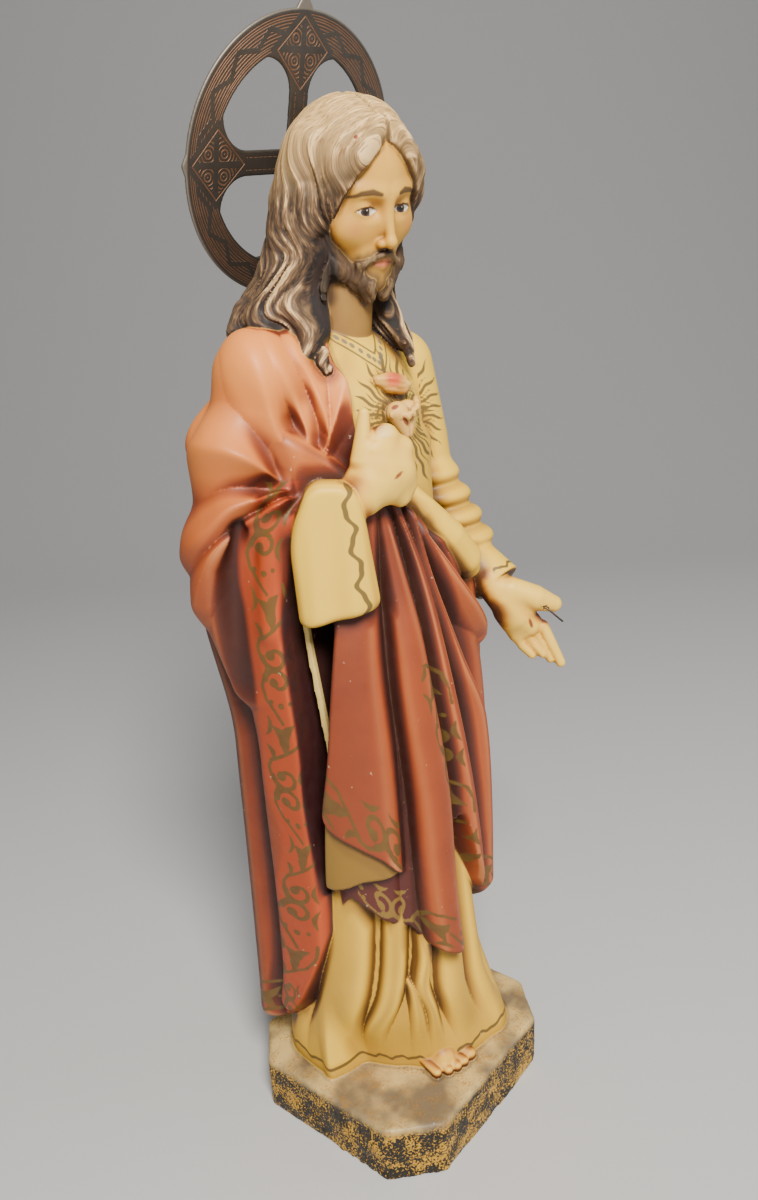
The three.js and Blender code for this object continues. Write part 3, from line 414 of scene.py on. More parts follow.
NECK = [[0, 16, 334, 15], [0, 10, 362, 12.5], [0, 6, 380, 13]]
CHEST = [0, 15, 303]
CHEST_RADII = [41, 30, 42]
SHOULDERS = [[-40, 19, 327, 15], [0, 17, 332, 16], [40, 18, 327, 14]]
RIGHT_ARM = [
    [-41, 22, 328, 18], [-50, 24, 300, 19], [-57, 28, 270, 19], [-57, 28, 244, 17], [-51, 25, 205, 13],
]
FOREARM = [[-57, 28, 272, 17], [-53, 12, 272, 12], [-48, -6, 275, 9]]
CROOK = (-24, 262.7)
FAN = [
    [[8, -26, 12, 4], [30, -24, 12, 4], [60, -20, 12, 3], [85, -18, 12, 2]],
    [[8, -34, 10, 4], [17, -28, 10, 4], [34, -9, 10, 4], [52, 2, 11, 4], [80, 6, 12, 2.5]],
    [[8, -5, 11, 4], [19, 0, 12, 4.5], [34, 7, 13, 4.5], [52, 12, 14, 4], [80, 17, 14, 3]],
    [[8, 30, 16, 4], [22, 28, 18, 5.5], [38, 22, 20, 5.5], [56, 21, 22, 5], [80, 24, 26, 4]],
    [[8, 84, 20, 4], [18, 70, 22, 6.5], [30, 67, 24, 7.5], [44, 69, 26, 7], [60, 72, 30, 5.5]],
    [[8, 103, 14, 4], [15, 105, 15, 6], [30, 106, 17, 7.5], [43, 112, 18, 7.5], [62, 115, 18, 6.5]],
    [[8, 128, 13, 4], [23, 119, 13, 5], [38, 122, 14, 6.5], [50, 125, 15, 7], [70, 132, 18, 6]],
]
FAN_MEAN = 3
CREST = 0.02


def rows_by_radius(rows):
    return [tuple(Profile([[k[0], k[n]] for k in row]) for n in (1, 2, 3)) for row in rows]


FAN_CURVES = rows_by_radius(FAN)


def fan_height(p):
    """The folds that fan out from the crook of the arm, laid out as seen from the front right."""
    across = p.across() - CROOK[0]
    above = LOOK_COS * p.z + LOOK_SIN * p.deep() - CROOK[1]
    far = length(across, above)
    angle = np.arctan2(-across, above) * DEGREES
    ridge = np.zeros_like(far)
    for middle, half, out in FAN_CURVES:
        away = turn(angle - middle(far)) / half(far)
        flank = np.maximum(1.1 - np.sqrt(away * away + CREST), 0) ** 1.5
        ridge = np.maximum(ridge, out(far) * flank)
    ridge = np.maximum(ridge, 3 * smooth_step(40, 70, far))
    return (ridge - FAN_MEAN) * smooth_step(2, 16, far) * smooth_step(105, 70, far)


PANEL_HEAD = [
    seen(-36, -43, 283, 5), seen(-41, -39, 268, 7.5), seen(-43, -36, 250, 8.5), seen(-44, -35, 232, 8.5),
]


ELBOW_VALLEY = [
    seen(-52, -43, 274, 2.5), seen(-55, -43, 256, 5.5), seen(-56, -42, 235, 7), seen(-57, -38, 205, 8),
]


def mantled_arm(p):
    arm = smooth_min(chain(p, RIGHT_ARM), chain(p, FOREARM), 4)
    arm = smooth_min(arm, chain(p, PANEL_HEAD), 3)
    arm = (arm - fan_height(p)) * 0.85
    return smooth_max(arm, -chain(p, ELBOW_VALLEY), 6)


breast_edge = Profile([[280, -20], [310, -22], [335, -21], [352, -15]])
BREAST_RADII = [radius + 4 for radius in CHEST_RADII]


MANTLED_SHOULDER = [[-41, 20, 328, 18], [-12, 18, 332, 19.5]]


def mantled_breast(p):
    cloth = smooth_min(ellipsoid(p, CHEST, BREAST_RADII), chain(p, MANTLED_SHOULDER), 5)
    cloth = cloth - 0.8 * fan_height(p)
    return smooth_max(cloth, (p.x - breast_edge(p.z)) * 0.9, 2)


LEFT_ARM = [
    [43.5, 17, 326, 16], [51, 15, 292, 16], [55, 10, 258, 13.5], [55, -8, 238, 11.5], [55, -18, 229, 11],
]
LEFT_WRAP = [
    [2, -15, 280, 4.5], [9, -20, 269, 6.5], [19, -25, 256, 8], [28, -27, 245, 8], [33, -25, 240, 6.5],
]
PUCKERS = {"start": [51, 4, 276], "step": [1.8, -5, -10], "count": 4, "radii": [14, 11, 6]}


CUFF = {"start": [55.5, -15, 234.5, 11], "rim": [56.8, -27, 224.5, 11.8]}
CUFF_WAY = [0, -0.743, -0.669]


def past_cuff(p):
    """How far beyond the left cuff's rim each spot lies, along the forearm."""
    rim = CUFF["rim"]
    return sum((c - r) * w for c, r, w in zip((p.x, p.y, p.z), rim, CUFF_WAY))


def left_sleeve(p):
    cloth = smooth_min(chain(p, LEFT_ARM), chain(p, LEFT_WRAP), 5)
    for i in range(PUCKERS["count"]):
        centre = [s + step * i for s, step in zip(PUCKERS["start"], PUCKERS["step"])]
        cloth = smooth_min(cloth, ellipsoid(p, centre, PUCKERS["radii"]), 4)
    cloth = smooth_min(cloth, chain(p, list(CUFF.values())), 2)
    return smooth_max(cloth, only(p.y < 0, past_cuff(p)), 1.2)


SLEEVE_EDGES = [
    [(-5, 289), (0.99, 0.13)], [(1, 240), (0.19, -0.98)], [(-31.5, 240), (-1, -0.05)],
    [(-32.5, 273), (-0.9, 0.42)], [(-12, 291), (0.05, 1)], [(-7, 290), (0.7, 0.7)],
]
SLEEVE_DEEP = -44
sleeve_half = Profile([[-34, 7.5], [-20, 8.5], [-6, 7], [2, 4.5]])


def right_sleeve(p):
    """The wide sleeve that hangs flat from the wrist, seen on its broad side."""
    across = p.across()
    sides = [(across - at) * nx + (p.z - at_z) * nz for (at, at_z), (nx, nz) in SLEEVE_EDGES]
    side = sides[0]
    for away in sides[1:]:
        side = smooth_max(side, away, 5)
    lower = smooth_step(292, 240, p.z)
    ripple = 0.9 * np.cos((across + 24) * 0.42) * (0.25 + 0.75 * lower)
    thick = np.abs(p.deep() - SLEEVE_DEEP) - sleeve_half(across) - ripple
    return smooth_max(side, thick, 4)


# The breast's heart under its flames

HEART = {"at": [0.3, -17.5, 311.5], "lobe": 4.8, "apart": 3.2, "drop": [0.9, -2.2, -8.5], "point": 1.8}
HEART_ROOT = [[0.3, -16, 310, 4], [4.5, -12, 307.5, 4]]
FLAMES = [
    [-6.5, -11.7, 324.6, 2.2], [-1.5, -13.7, 323.6, 4.4], [4, -14.7, 321.6, 4], [7, -15.2, 320.1, 2],
]
THORNS = [
    [-6.5, -18.5, 311.5, 1.4], [-3, -22.8, 310.5, 1.3], [2, -23.6, 313, 1.4], [6, -20.5, 316.5, 1.2],
]
THORN_BUMP = 0.8


def heart(p):
    cx, cy, cz = HEART["at"]
    q = Spots(np.abs(p.x - cx), p.y, p.z)
    point_x, point_y, point_z = HEART["drop"]
    body = limb(
        q, [HEART["apart"], cy, cz], [point_x, cy + point_y, cz + point_z], HEART["lobe"], HEART["point"],
    )
    flames = chain(p, FLAMES) - 0.6 * value_noise(31, p.x / 4 + p.z / 3, p.z / 1.8)
    thorns = chain(p, THORNS) - THORN_BUMP * value_noise(32, p.x / 1.5, p.y / 1.5, p.z / 1.5)
    return np.min([body, chain(p, HEART_ROOT), thorns, flames], axis=0)


# Hands and foot

RIGHT_HAND = {
    "palm": [
        [seen(-14, -41, 279, 7.5), seen(-4, -39, 285, 9.2), seen(4, -36, 291, 9.6), seen(8, -33, 292, 9)],
        [seen(-2, -39, 292, 7), seen(0.5, -39, 301, 5.6), seen(1, -38, 304, 4.4)],
        [seen(4, -37, 297, 6.6), seen(6, -36, 305.5, 5.4)],
        [seen(9, -34, 296, 5.6), seen(12.3, -33, 301, 4.4)],
        [seen(11, -33, 291, 5), seen(13.5, -31, 286, 4.2), seen(12, -27, 281, 3.8)],
        [seen(7, -36, 285, 5), seen(10.5, -33, 281.5, 4)],
    ],
    "palm_blend": 4,
    "fingers": [[seen(-3, -40, 298, 5), seen(-2.4, -40, 307, 3.3), seen(-1.7, -39.5, 315.4, 2.2)]],
    "finger_blend": 1.5,
}
LEFT_HAND = {
    "palm": [
        [seen(52, 24, 228, 7.5), seen(59, 22, 219, 8.2), seen(65, 23, 210.5, 8.2),
         seen(70.5, 24, 205, 6.6)],
        [seen(60, 23, 211, 5.5), seen(65.5, 24, 200.5, 4.6)],
        [seen(62, 20, 224, 5.6), seen(73, 20, 219, 6), seen(82, 22, 215, 4)],
    ],
    "palm_blend": 3,
    "fingers": [
        [seen(64.8, 24, 200, 3), seen(68.2, 22.5, 194.5, 2.8), seen(72, 21, 190.3, 2.2)],
        [seen(69.6, 24, 200.5, 3), seen(73.4, 22, 195, 2.8), seen(77, 20.5, 190.6, 2.2)],
        [seen(73.6, 23.5, 201.5, 3), seen(77.4, 22, 194.8, 2.8), seen(80.7, 20.5, 188, 2.3)],
        [seen(77, 22.5, 204, 3), seen(80.8, 21, 195.5, 2.8), seen(85.3, 19.5, 186, 2.3)],
    ],
    "finger_blend": 1.2,
}
FINGER_CREASE = 0.25


def hand(p, shape):
    flesh = chain(p, shape["palm"][0])
    for part in shape["palm"][1:]:
        flesh = smooth_min(flesh, chain(p, part), shape["palm_blend"])
    fingers = chain(p, shape["fingers"][0])
    for finger in shape["fingers"][1:]:
        fingers = smooth_min(fingers, chain(p, finger), FINGER_CREASE)
    return smooth_min(flesh, fingers, shape["finger_blend"])


INSTEP = [[-12, -20, 4, 8], [-11, -34, 4, 6.5]]
TOE_TIPS = [
    [-20, -37, 2.4], [-15.5, -40.5, 2.4], [-11, -42.5, 2.4], [-6.5, -43.5, 2.4], [-1, -43, 3.3],
]


def foot(p):
    flesh = chain(p, INSTEP)
    for tip_x, tip_y, radius in TOE_TIPS:
        root = [-12 + (tip_x + 12) * 0.8, tip_y + 9, 4]
        flesh = smooth_min(flesh, limb(p, root, [tip_x, tip_y, 1.8], radius, radius), 1.5)
    return flesh


# The head is carved upright at its own origin, then bowed forward and turned to its right

HEAD_AT = [1.5, 4, 397]
HEAD_BOW = 20 / DEGREES
HEAD_TURN = -13 / DEGREES
HEAD_TILT = 5 / DEGREES


def to_head(p):
    px, py, pz = p.x - HEAD_AT[0], p.y - HEAD_AT[1], p.z - HEAD_AT[2]
    across = px * math.cos(HEAD_TURN) + py * math.sin(HEAD_TURN)
    back = -px * math.sin(HEAD_TURN) + py * math.cos(HEAD_TURN)
    upward = -back * math.sin(HEAD_BOW) + pz * math.cos(HEAD_BOW)
    return Spots(
        across * math.cos(HEAD_TILT) + upward * math.sin(HEAD_TILT),
        back * math.cos(HEAD_BOW) + pz * math.sin(HEAD_BOW),
        -across * math.sin(HEAD_TILT) + upward * math.cos(HEAD_TILT),
    )


EYE = [8.4, -17.6, -1.4]
EYE_RADII = [4.5, 4.5, 4.2]


def lid_lines(side):
    """The upper and lower edge of the opening of an eye, as heights above its middle."""
    away = np.minimum(((side - EYE[0]) / 4.5) ** 2, 1)
    return 1.2 * (1 - away) - 0.1, -1.9 * (1 - away) - 0.1


def face(h):
    m = Spots(np.abs(h.x), h.y, h.z)
    flesh = ellipsoid(h, [0, 1, 5], [21.5, 25, 26])
    flesh = smooth_min(flesh, ellipsoid(h, [0, -6, -10], [17.5, 18, 22]), 8)
    flesh = smooth_min(flesh, limb(m, [3, -22.3, 4], [11.5, -19, 5], 2.2, 2), 4)
    flesh = smooth_min(flesh, ellipsoid(m, [11.5, -15.6, -9], [6.5, 5.4, 6]), 5)
    flesh = smooth_max(flesh, -ellipsoid(m, [7.6, -26.4, -0.8], [5.4, 5.4, 3.6]), 3)
    ball = ellipsoid(m, EYE, EYE_RADII)
    upper, lower = lid_lines(m.x)
    opening = np.maximum(m.z - EYE[2] - upper, lower - (m.z - EYE[2]))
    lids = smooth_max(ball - 0.75, -opening, 0.4)
    flesh = smooth_min(flesh, lids, 1.2)
    flesh = np.minimum(flesh, ball)
    flesh = smooth_min(flesh, limb(h, [0, -22.6, 3.4], [0, -27.8, -11.4], 1.5, 1.9), 3)
    flesh = smooth_min(flesh, ellipsoid(h, [0, -27.6, -12.4], [2.4, 2.7, 2.2]), 1.8)
    flesh = smooth_min(flesh, ellipsoid(m, [2.8, -24.8, -13.2], [1.7, 2.5, 1.7]), 1.4)
    flesh = smooth_max(flesh, -ellipsoid(m, [1.5, -27.2, -15.2], [0.8, 1.4, 0.9]), 0.5)
    flesh = smooth_min(flesh, ellipsoid(h, [0, -18, -20], [8.5, 6.6, 6.5]), 4)
    flesh = smooth_min(flesh, limb(m, [0.9, -24.4, -19.2], [4.9, -22.6, -20.2], 1.2, 0.5), 0.8)
    flesh = smooth_min(flesh, limb(m, [0, -24, -22], [3.6, -22.9, -21.6], 1.5, 0.8), 0.8)
    flesh = smooth_max(flesh, -limb(m, [0, -26, -20.7], [5.4, -22.9, -21], 0.35, 0.3), 0.5)
    return smooth_min(flesh, ellipsoid(h, [0, -18.5, -28.5], [7, 6, 6]), 5)


def beard(h):
    m = Spots(np.abs(h.x), h.y, h.z)
    hair = limb(m, [17.5, -9, -8], [13, -14, -25], 2.6, 4.4)
    hair = smooth_min(hair, limb(m, [13, -14, -25], [5, -20, -30], 4.4, 4.8), 3)
    hair = smooth_min(hair, limb(m, [5, -20, -30], [3.6, -22, -34.5], 4.4, 2.9), 2)
    hair = smooth_min(hair, limb(m, [1.4, -25.4, -17.4], [8.6, -21.2, -21.8], 1.4, 1.6), 1.2)
    hair = smooth_min(hair, limb(m, [8.6, -21.2, -21.8], [8.4, -20, -27], 1.6, 2.4), 1.5)
    bend = 1.1 * np.sin(h.z * 0.45)
    coarse = np.abs(value_noise(3, (m.x + bend) / 2.6, h.y / 2.8, h.z / 8))
    fine = value_noise(4, (m.x + bend) / 1.1, h.y / 1.2, h.z / 4)
    return hair - 1.1 * (coarse - 0.35) - 0.25 * fine


LOCKS = [
    [[-20, 6, 412, 8], [-24, 13, 392, 8], [-25, 17, 374, 8], [-28, 20, 360, 8.5], [-34, 21, 347, 8]],
    [[-15, 14, 402, 10], [-18, 19, 380, 9.5], [-22, 24, 364, 9], [-30, 30, 352, 9], [-35, 32, 345, 7]],
    [seen(-18, -16, 392, 5), seen(-20.5, -14, 382, 5.5), seen(-22, -12, 372, 5.5),
     seen(-27, -12, 362, 6), seen(-27.5, -13, 354, 5.5), seen(-23, -16, 347, 5),
     seen(-19, -19, 339, 4), seen(-15, -22, 331, 2.4)],
    [seen(-16, -8, 376, 5), seen(-19, -6, 364, 6), seen(-20, -8, 354, 5.5), seen(-17, -14, 345, 4)],
    [seen(-27, -8, 370, 6), seen(-31, -9, 359, 6), seen(-31, -12, 349, 5.5), seen(-27, -17, 341, 4.4),
     seen(-22, -21, 334, 3)],
    [seen(-31, -4, 368, 6.5), seen(-37, -5, 357, 6.5), seen(-40, -8, 348, 5.5), seen(-38, -12, 340, 3.4)],
    [seen(-37, 4, 366, 6), seen(-43, 3, 357, 6), seen(-47, 1, 350, 5), seen(-50, 0, 345, 3)],
    [[-5, 20, 400, 10], [-7, 25, 376, 9.5], [-10, 31, 356, 9]],
    [[8, 20, 400, 10], [10, 25, 376, 10], [12, 30, 354, 10]],
    [[18, 12, 404, 9], [21, 15, 380, 9], [24, 18, 360, 8.5], [30, 20, 346, 6]],
    [[22, 2, 412, 6], [24, 1, 396, 6.5], [21.5, 2, 382, 6], [19, 4, 370, 6], [17, 5, 358, 6],
     [19, 0, 346, 5.2], [21, -6, 336, 3.4], [21, -8, 329, 2]],
    [[17, 8, 372, 6], [15, 6, 360, 6], [15, 0, 349, 4.5], [17.5, -7, 338, 2.6]],
]
LOCK_BLEND = 3.5
FRONT_ROLL = [
    [0.5, -16.5, 27, 3.2], [6, -17.6, 23.4, 3.8], [12, -17.6, 16.8, 4.4], [17.6, -15, 9, 4.8],
    [20.6, -11.5, 0, 4.6], [21.5, -8, -9, 4],
]
ROLL_BUMP = 0.5


def hair_cap(h):
    cap = ellipsoid(h, [0, 2.5, 4], [27, 27.5, 29.5])
    px, py, pz = h.x, h.y + 26, h.z + 8
    rx, ry, rz = 20.5 - 0.2 * h.z, 22, 31
    near = length(px / rx, py / ry, pz / rz)
    slope = length(px / rx**2, py / ry**2, pz / rz**2)
    opening = near * (near - 1) / np.maximum(slope, 1e-6)
    cap = smooth_max(cap, -opening, 1.5)
    m = Spots(np.abs(h.x), h.y, h.z)
    roll = chain(m, FRONT_ROLL) + ROLL_BUMP * value_noise(14, h.x / 3.4, h.y / 3.4, h.z / 3.4)
    cap = smooth_min(cap, roll, 4.5)
    parting = 0.9 * smooth_step(1.4, 0, np.abs(h.x)) * smooth_step(10, 20, h.z)
    return cap + parting


def combing(p, h):
    """Across and along the combed strands: sideways from the parting above, down in waves below."""
    side = np.where(h.x < 0, -1, 1)
    around = np.abs(np.arctan2(p.x, -(p.y - 8))) * 22
    above = 34.5 + 0.95 * (h.y - 3) - 0.12 * np.abs(h.x)
    share = smooth_step(24, 2, h.z)
    lower = smooth_step(398, 366, p.z)
    swing = 2.6 * lower * np.sin(p.z * 0.2 + 0.8 * side + 0.09 * around)
    across = above + (around - above) * share + swing
    along = np.abs(h.x) * (1 - share) * 0.6 - h.z
    return across + 60 * side, along, lower


def strands(p, h):
    """The combed relief, deeper below the crown."""
    across, along, lower = combing(p, h)
    wide = np.abs(value_noise(11, across / 4.6, along / 22))
    middle = np.abs(value_noise(12, across / 2.1, along / 13))
    fine = value_noise(13, across / 0.95, along / 9)
    return (0.5 + 1.9 * lower) * (wide - 0.35) + (0.8 + 0.6 * lower) * (middle - 0.35) + 0.2 * fine


def hair(p, h):
    locks = hair_cap(h)
    for lock in LOCKS:
        locks = join(locks, p, lambda q: chain(q, lock), *box_of(lock), LOCK_BLEND)
    return locks


def head_parts(p):
    """The hair of the head, the beard and the bare flesh with the neck."""
    h = to_head(p)
    combed = hair(p, h)
    near = np.flatnonzero(np.abs(combed) < 6)
    combed[near] -= strands(p.take(near), h.take(near))
    return combed, beard(h), smooth_min(face(h), chain(p, NECK), 3)


def head(p):
    combed, curls, flesh = head_parts(p)
    return smooth_min(smooth_min(combed, curls, 1), flesh, 0.8)


# The base, a block with its corners cut off, rough on its sides


def base(p):
    z = p.z + BASE_HEIGHT
    x, y = np.abs(p.x), np.abs(p.y)
    sides = np.maximum(x - BASE_WIDTH / 2, y - BASE_DEPTH / 2)
    corner = (x + y - (BASE_WIDTH + BASE_DEPTH) / 2 + BASE_CHAMFER) / math.sqrt(2)
    wall = smooth_max(sides, corner, 1.5)
    rough = np.zeros_like(wall)
    near = np.flatnonzero((np.abs(wall) < 5) | (np.abs(p.z) < 4))
    q = p.take(near)
    coarse = value_noise(21, q.x / 9, q.y / 9, q.z / 7)
    fine = value_noise(22, q.x / 3, q.y / 3, q.z / 3)
    fine = fine + 0.6 * value_noise(23, q.x / 1.5, q.y / 1.5, q.z / 1.5)
    rough[near] = 0.5 * coarse + 0.3 * fine
    top = p.z - 0.35 * rough
    block = smooth_max(wall + 0.9 - 1.1 * rough * smooth_step(1, -5, p.z), top, 3)
    return np.maximum(block, -z)


SLIT_BOX = ([-80, -45, SLIT_FOOT - 4], [-20, 40, SLIT_TOP + 4])


def cloths(p):
    """The red mantle and the cream cloth, both with the gap between panel and border cut out."""
    red, lining = mantle_sheets(p)
    cream = np.minimum(tunic(p), lining)
    high = np.flatnonzero(p.z > 190)
    if high.size:
        q = p.take(high)
        over = smooth_min(mantled_arm(q), mantled_breast(q), 4)
        red[high] = smooth_min(red[high], over, 3)
        top = smooth_min(cream[high], ellipsoid(q, CHEST, CHEST_RADII), 6)
        top = smooth_min(top, chain(q, SHOULDERS), 8)
        covered = (q.x < breast_edge(q.z) - 2) & (q.z > 262)
        top = np.where(covered, np.maximum(top, red[high] + COVER), top)
        cream[high] = smooth_min(top, left_sleeve(q), 2)
    slit = p.near(*SLIT_BOX)
    if slit.size:
        q = p.take(slit)
        gap = -slit_cut(q)
        red[slit] = smooth_max(red[slit], gap, 2)
        cream[slit] = np.minimum(smooth_max(cream[slit], gap, 2), strip(q))
    return red, cream


def cloth(p):
    return smooth_min(*cloths(p), 0.8)


BOXES = {
    "head": ([-50, -36, 322], [40, 50, 432]),
    "sleeve": ([-70, -42, 232], [10, 20, 296]),
    "heart": ([-14, -26, 288], [10, -4, 334]),
    "right_hand": ([-60, -50, 264], [4, -4, 320]),
    "left_hand": ([42, -66, 180], [78, -2, 242]),
    "foot": ([-26, -52, -6], [6, -8, 16]),
    "base": ([-64, -60, -30], [64, 60, 3]),
}
SHAPES = {
    "head": head,
    "sleeve": right_sleeve,
    "heart": heart,
    "right_hand": lambda p: hand(p, RIGHT_HAND),
    "left_hand": lambda p: hand(p, LEFT_HAND),
    "foot": foot,
    "base": base,
}
BLENDS = {"right_hand": 0.8, "left_hand": 1, "base": 0.8}


# Room in the cast for the halo's plate and pin, and for the wire

HALO_AT = [0, 31.8, 410.2]
HALO_FRAME = Matrix.Rotation(-5 / DEGREES, 3, "Z") @ Matrix.Rotation(109 / DEGREES, 3, "X")
PLATE_ROOM = {"radius": 58.5, "half": 1}
PIN_ROOM = {"radius": 1.4, "length": 9.3}
WIRE_START = [60.5, -47.2, 217.5]
WIRE_END = [67.2, -55.6, 207.6]
WIRE_ROOM = 0.75


def to_halo(p):
    """Spots in the frame of the halo's plate, which lies in x and y with its pin along z."""
    parts = [c - at for c, at in zip((p.x, p.y, p.z), HALO_AT)]
    turned = HALO_FRAME.transposed()
    return Spots(*(sum(part * turned[row][n] for n, part in enumerate(parts)) for row in range(3)))


def rooms(cast, p):
    index = p.near([-62, -10, 340], [62, 60, 440])
    if index.size:
        q = to_halo(p.take(index))
        far = length(q.x, q.y)
        plate = np.maximum(far - PLATE_ROOM["radius"], np.abs(q.z) - PLATE_ROOM["half"])
        pin = np.maximum(far - PIN_ROOM["radius"], np.maximum(-q.z, q.z - PIN_ROOM["length"]))
        cast[index] = np.maximum(cast[index], -np.minimum(plate, pin))
    low, high = BOXES["left_hand"]
    index = p.near(low, high)
    if index.size:
        wire = limb(p.take(index), WIRE_START, WIRE_END, WIRE_ROOM, WIRE_ROOM)
        cast[index] = np.maximum(cast[index], -wire)
    return cast


def figure(p):
    cast = cloth(p)
    for name, shape in SHAPES.items():
        cast = join(cast, p, shape, *BOXES[name], BLENDS.get(name, 0.6))
    return rooms(np.maximum(cast, -(p.z + BASE_HEIGHT)), p)


# From a carving to a mesh


def spaced(stops):
    """Grid lines through [place, spacing] stops, each spacing held up to the next stop."""
    lines = [float(stops[0][0])]
    for (place, spacing), (end, _) in zip(stops, stops[1:]):
        count = max(round((end - place) / spacing), 1)
        lines.extend(np.linspace(place, end, count + 1)[1:])
    return np.array(lines, dtype=np.float32)


BLOCK = 4


def sample(shape, lines):
    """The carving's distance on a grid, worked out only where the surface may be near."""
    padded, sizes = [], []
    for line in lines:
        last = line[-1] - line[-2]
        missing = -len(line) % BLOCK
        if missing:
            line = np.concatenate([line, line[-1] + last * np.arange(1, missing + 1)])
        steps = np.diff(line, append=2 * line[-1] - line[-2])
        padded.append(line)
        sizes.append(steps.reshape(-1, BLOCK).sum(axis=1))
    middles = [line.reshape(-1, BLOCK).mean(axis=1).astype(np.float32) for line in padded]
    grid = np.meshgrid(*middles, indexing="ij")
    shown = [g.ravel() for g in grid]
    coarse = shape(Spots(*shown)).reshape(grid[0].shape)
    size = np.sqrt(sum(s * s for s in np.meshgrid(*sizes, indexing="ij"))) / 2
    near = np.argwhere(np.abs(coarse) < size * 1.25 + 1.2)
    values = np.repeat(np.repeat(np.repeat(coarse, BLOCK, 0), BLOCK, 1), BLOCK, 2)
    step = np.arange(BLOCK)
    for part in np.array_split(near, max(len(near) // 12000, 1)):
        i = (part[:, 0, None] * BLOCK + step)[:, :, None, None]
        j = (part[:, 1, None] * BLOCK + step)[:, None, :, None]
        k = (part[:, 2, None] * BLOCK + step)[:, None, None, :]
        i, j, k = (np.broadcast_to(n, (len(part), BLOCK, BLOCK, BLOCK)).ravel() for n in (i, j, k))
        values[i, j, k] = shape(Spots(padded[0][i], padded[1][j], padded[2][k]))
    return values, padded


CORNERS = [(0, 0, 0), (1, 0, 0), (0, 1, 0), (1, 1, 0), (0, 0, 1), (1, 0, 1), (0, 1, 1), (1, 1, 1)]


def surface(values, lines):
    """The surface where a sampled distance is zero, one vertex a cell, in quads that face out."""
    inside = values < 0
    windows = [tuple(slice(c, n - 1 + c) for c, n in zip(corner, values.shape)) for corner in CORNERS]
    count = sum(inside[window].astype(np.uint8) for window in windows)
    cells = np.argwhere((count > 0) & (count < 8))
    number = np.full(count.shape, -1, dtype=np.int32)
    number[tuple(cells.T)] = np.arange(len(cells))
    total = np.zeros((len(cells), 3), dtype=np.float32)
    hits = np.zeros(len(cells), dtype=np.float32)
    at_corner = [values[tuple((cells + corner).T)] for corner in CORNERS]
    for one in range(8):
        for axis in range(3):
            two = one | 1 << axis
            if two == one:
                continue
            a, b = at_corner[one], at_corner[two]
            crossing = (a < 0) != (b < 0)
            t = np.where(crossing, a / np.where(crossing, a - b, 1), 0)
            for n in range(3):
                place = CORNERS[one][n] + (t if n == axis else 0)
                total[:, n] += np.where(crossing, place, 0)
            hits += crossing
    at = cells + total / hits[:, None]
    points = np.stack([np.interp(at[:, n], np.arange(len(lines[n])), lines[n]) for n in range(3)], axis=1)
    quads = []
    for axis in range(3):
        u, v = (axis + 1) % 3, (axis + 2) % 3
        low = [slice(1, -1)] * 3
        low[axis] = slice(0, -1)
        high = list(low)
        high[axis] = slice(1, None)
        starts = inside[tuple(low)]
        changes = np.argwhere(starts != inside[tuple(high)])
        leaving = starts[tuple(changes.T)]
        first = changes + [0 if n == axis else 1 for n in range(3)]
        around = []
        for du, dv in ((0, 0), (-1, 0), (-1, -1), (0, -1)):
            cell = first.copy()
            cell[:, u] += du
            cell[:, v] += dv
            around.append(number[tuple(cell.T)])
        quad = np.stack(around, axis=1)
        quad[~leaving] = quad[~leaving][:, ::-1]
        quads.append(quad)
    return points, np.concatenate(quads)


def mesh_object(name, points, faces):
    mesh = bpy.data.meshes.new(name)
    corners = faces.shape[1]
    mesh.vertices.add(len(points))
    mesh.vertices.foreach_set("co", np.ascontiguousarray(points, dtype=np.float32).ravel())
    mesh.loops.add(faces.size)
    mesh.loops.foreach_set("vertex_index", np.ascontiguousarray(faces, dtype=np.int32).ravel())
    mesh.polygons.add(len(faces))
    mesh.polygons.foreach_set("loop_start", np.arange(0, faces.size, corners, dtype=np.int32))
    mesh.polygons.foreach_set("use_smooth", np.ones(len(faces), dtype=bool))
    mesh.update(calc_edges=True)
    mesh.validate()
    made = bpy.data.objects.new(name, mesh)
    bpy.context.scene.collection.objects.link(made)
    return made


def give_traits(piece, traits):
    for name, trait in traits.items():
        layer = piece.data.attributes.new(name, "FLOAT", "POINT")
        layer.data.foreach_set("value", np.ascontiguousarray(trait, dtype=np.float32))


FINE = 1
GRID = [
    spaced([[-84, 1.2 * FINE], [-46, 0.96 * FINE], [-30, 0.62 * FINE], [34, 0.94 * FINE], [80, 1]]),
    spaced([[-66, 1 * FINE], [-58, 0.67 * FINE], [22, 1.05 * FINE], [70, 1]]),
    spaced([
        [-32, 1.15 * FINE], [-6, 0.8 * FINE], [12, 1.2 * FINE], [180, 0.92 * FINE], [322, 0.6 * FINE],
        [434, 1],
    ]),
]
PIECE_TRIANGLES = 190000
NORMAL_STEP = 0.35


def outward(points):
    """The direction away from the carving at each point."""
    slopes = []
    for axis in range(3):
        ahead, behind = ([points[:, n] for n in range(3)] for _ in range(2))
        ahead[axis] = ahead[axis] + NORMAL_STEP
        behind[axis] = behind[axis] - NORMAL_STEP
        slopes.append(figure(Spots(*ahead)) - figure(Spots(*behind)))
    slopes = np.stack(slopes, axis=1)
    return slopes / np.maximum(np.linalg.norm(slopes, axis=1, keepdims=True), 1e-6)


def openness(points, normals, away):
    """How open the carving lies around each point: 1 where nothing rises within a distance."""
    moved = points + normals * away
    return np.clip(figure(Spots(*moved.T)) / away, 0, 1.2)


def solidness(points, normals, away):
    """How solid the carving is behind each point: 1 where it is thick, and less on a narrow crest."""
    moved = points - normals * away
    return -np.clip(figure(Spots(*moved.T)) / away, -1.2, 0)


# What is painted where: millimetres inside each painted shape, worked out at every point of the mesh


def inside_of(distances, name):
    others = [d for other, d in distances.items() if other != name]
    return np.min(others, axis=0) - distances[name]


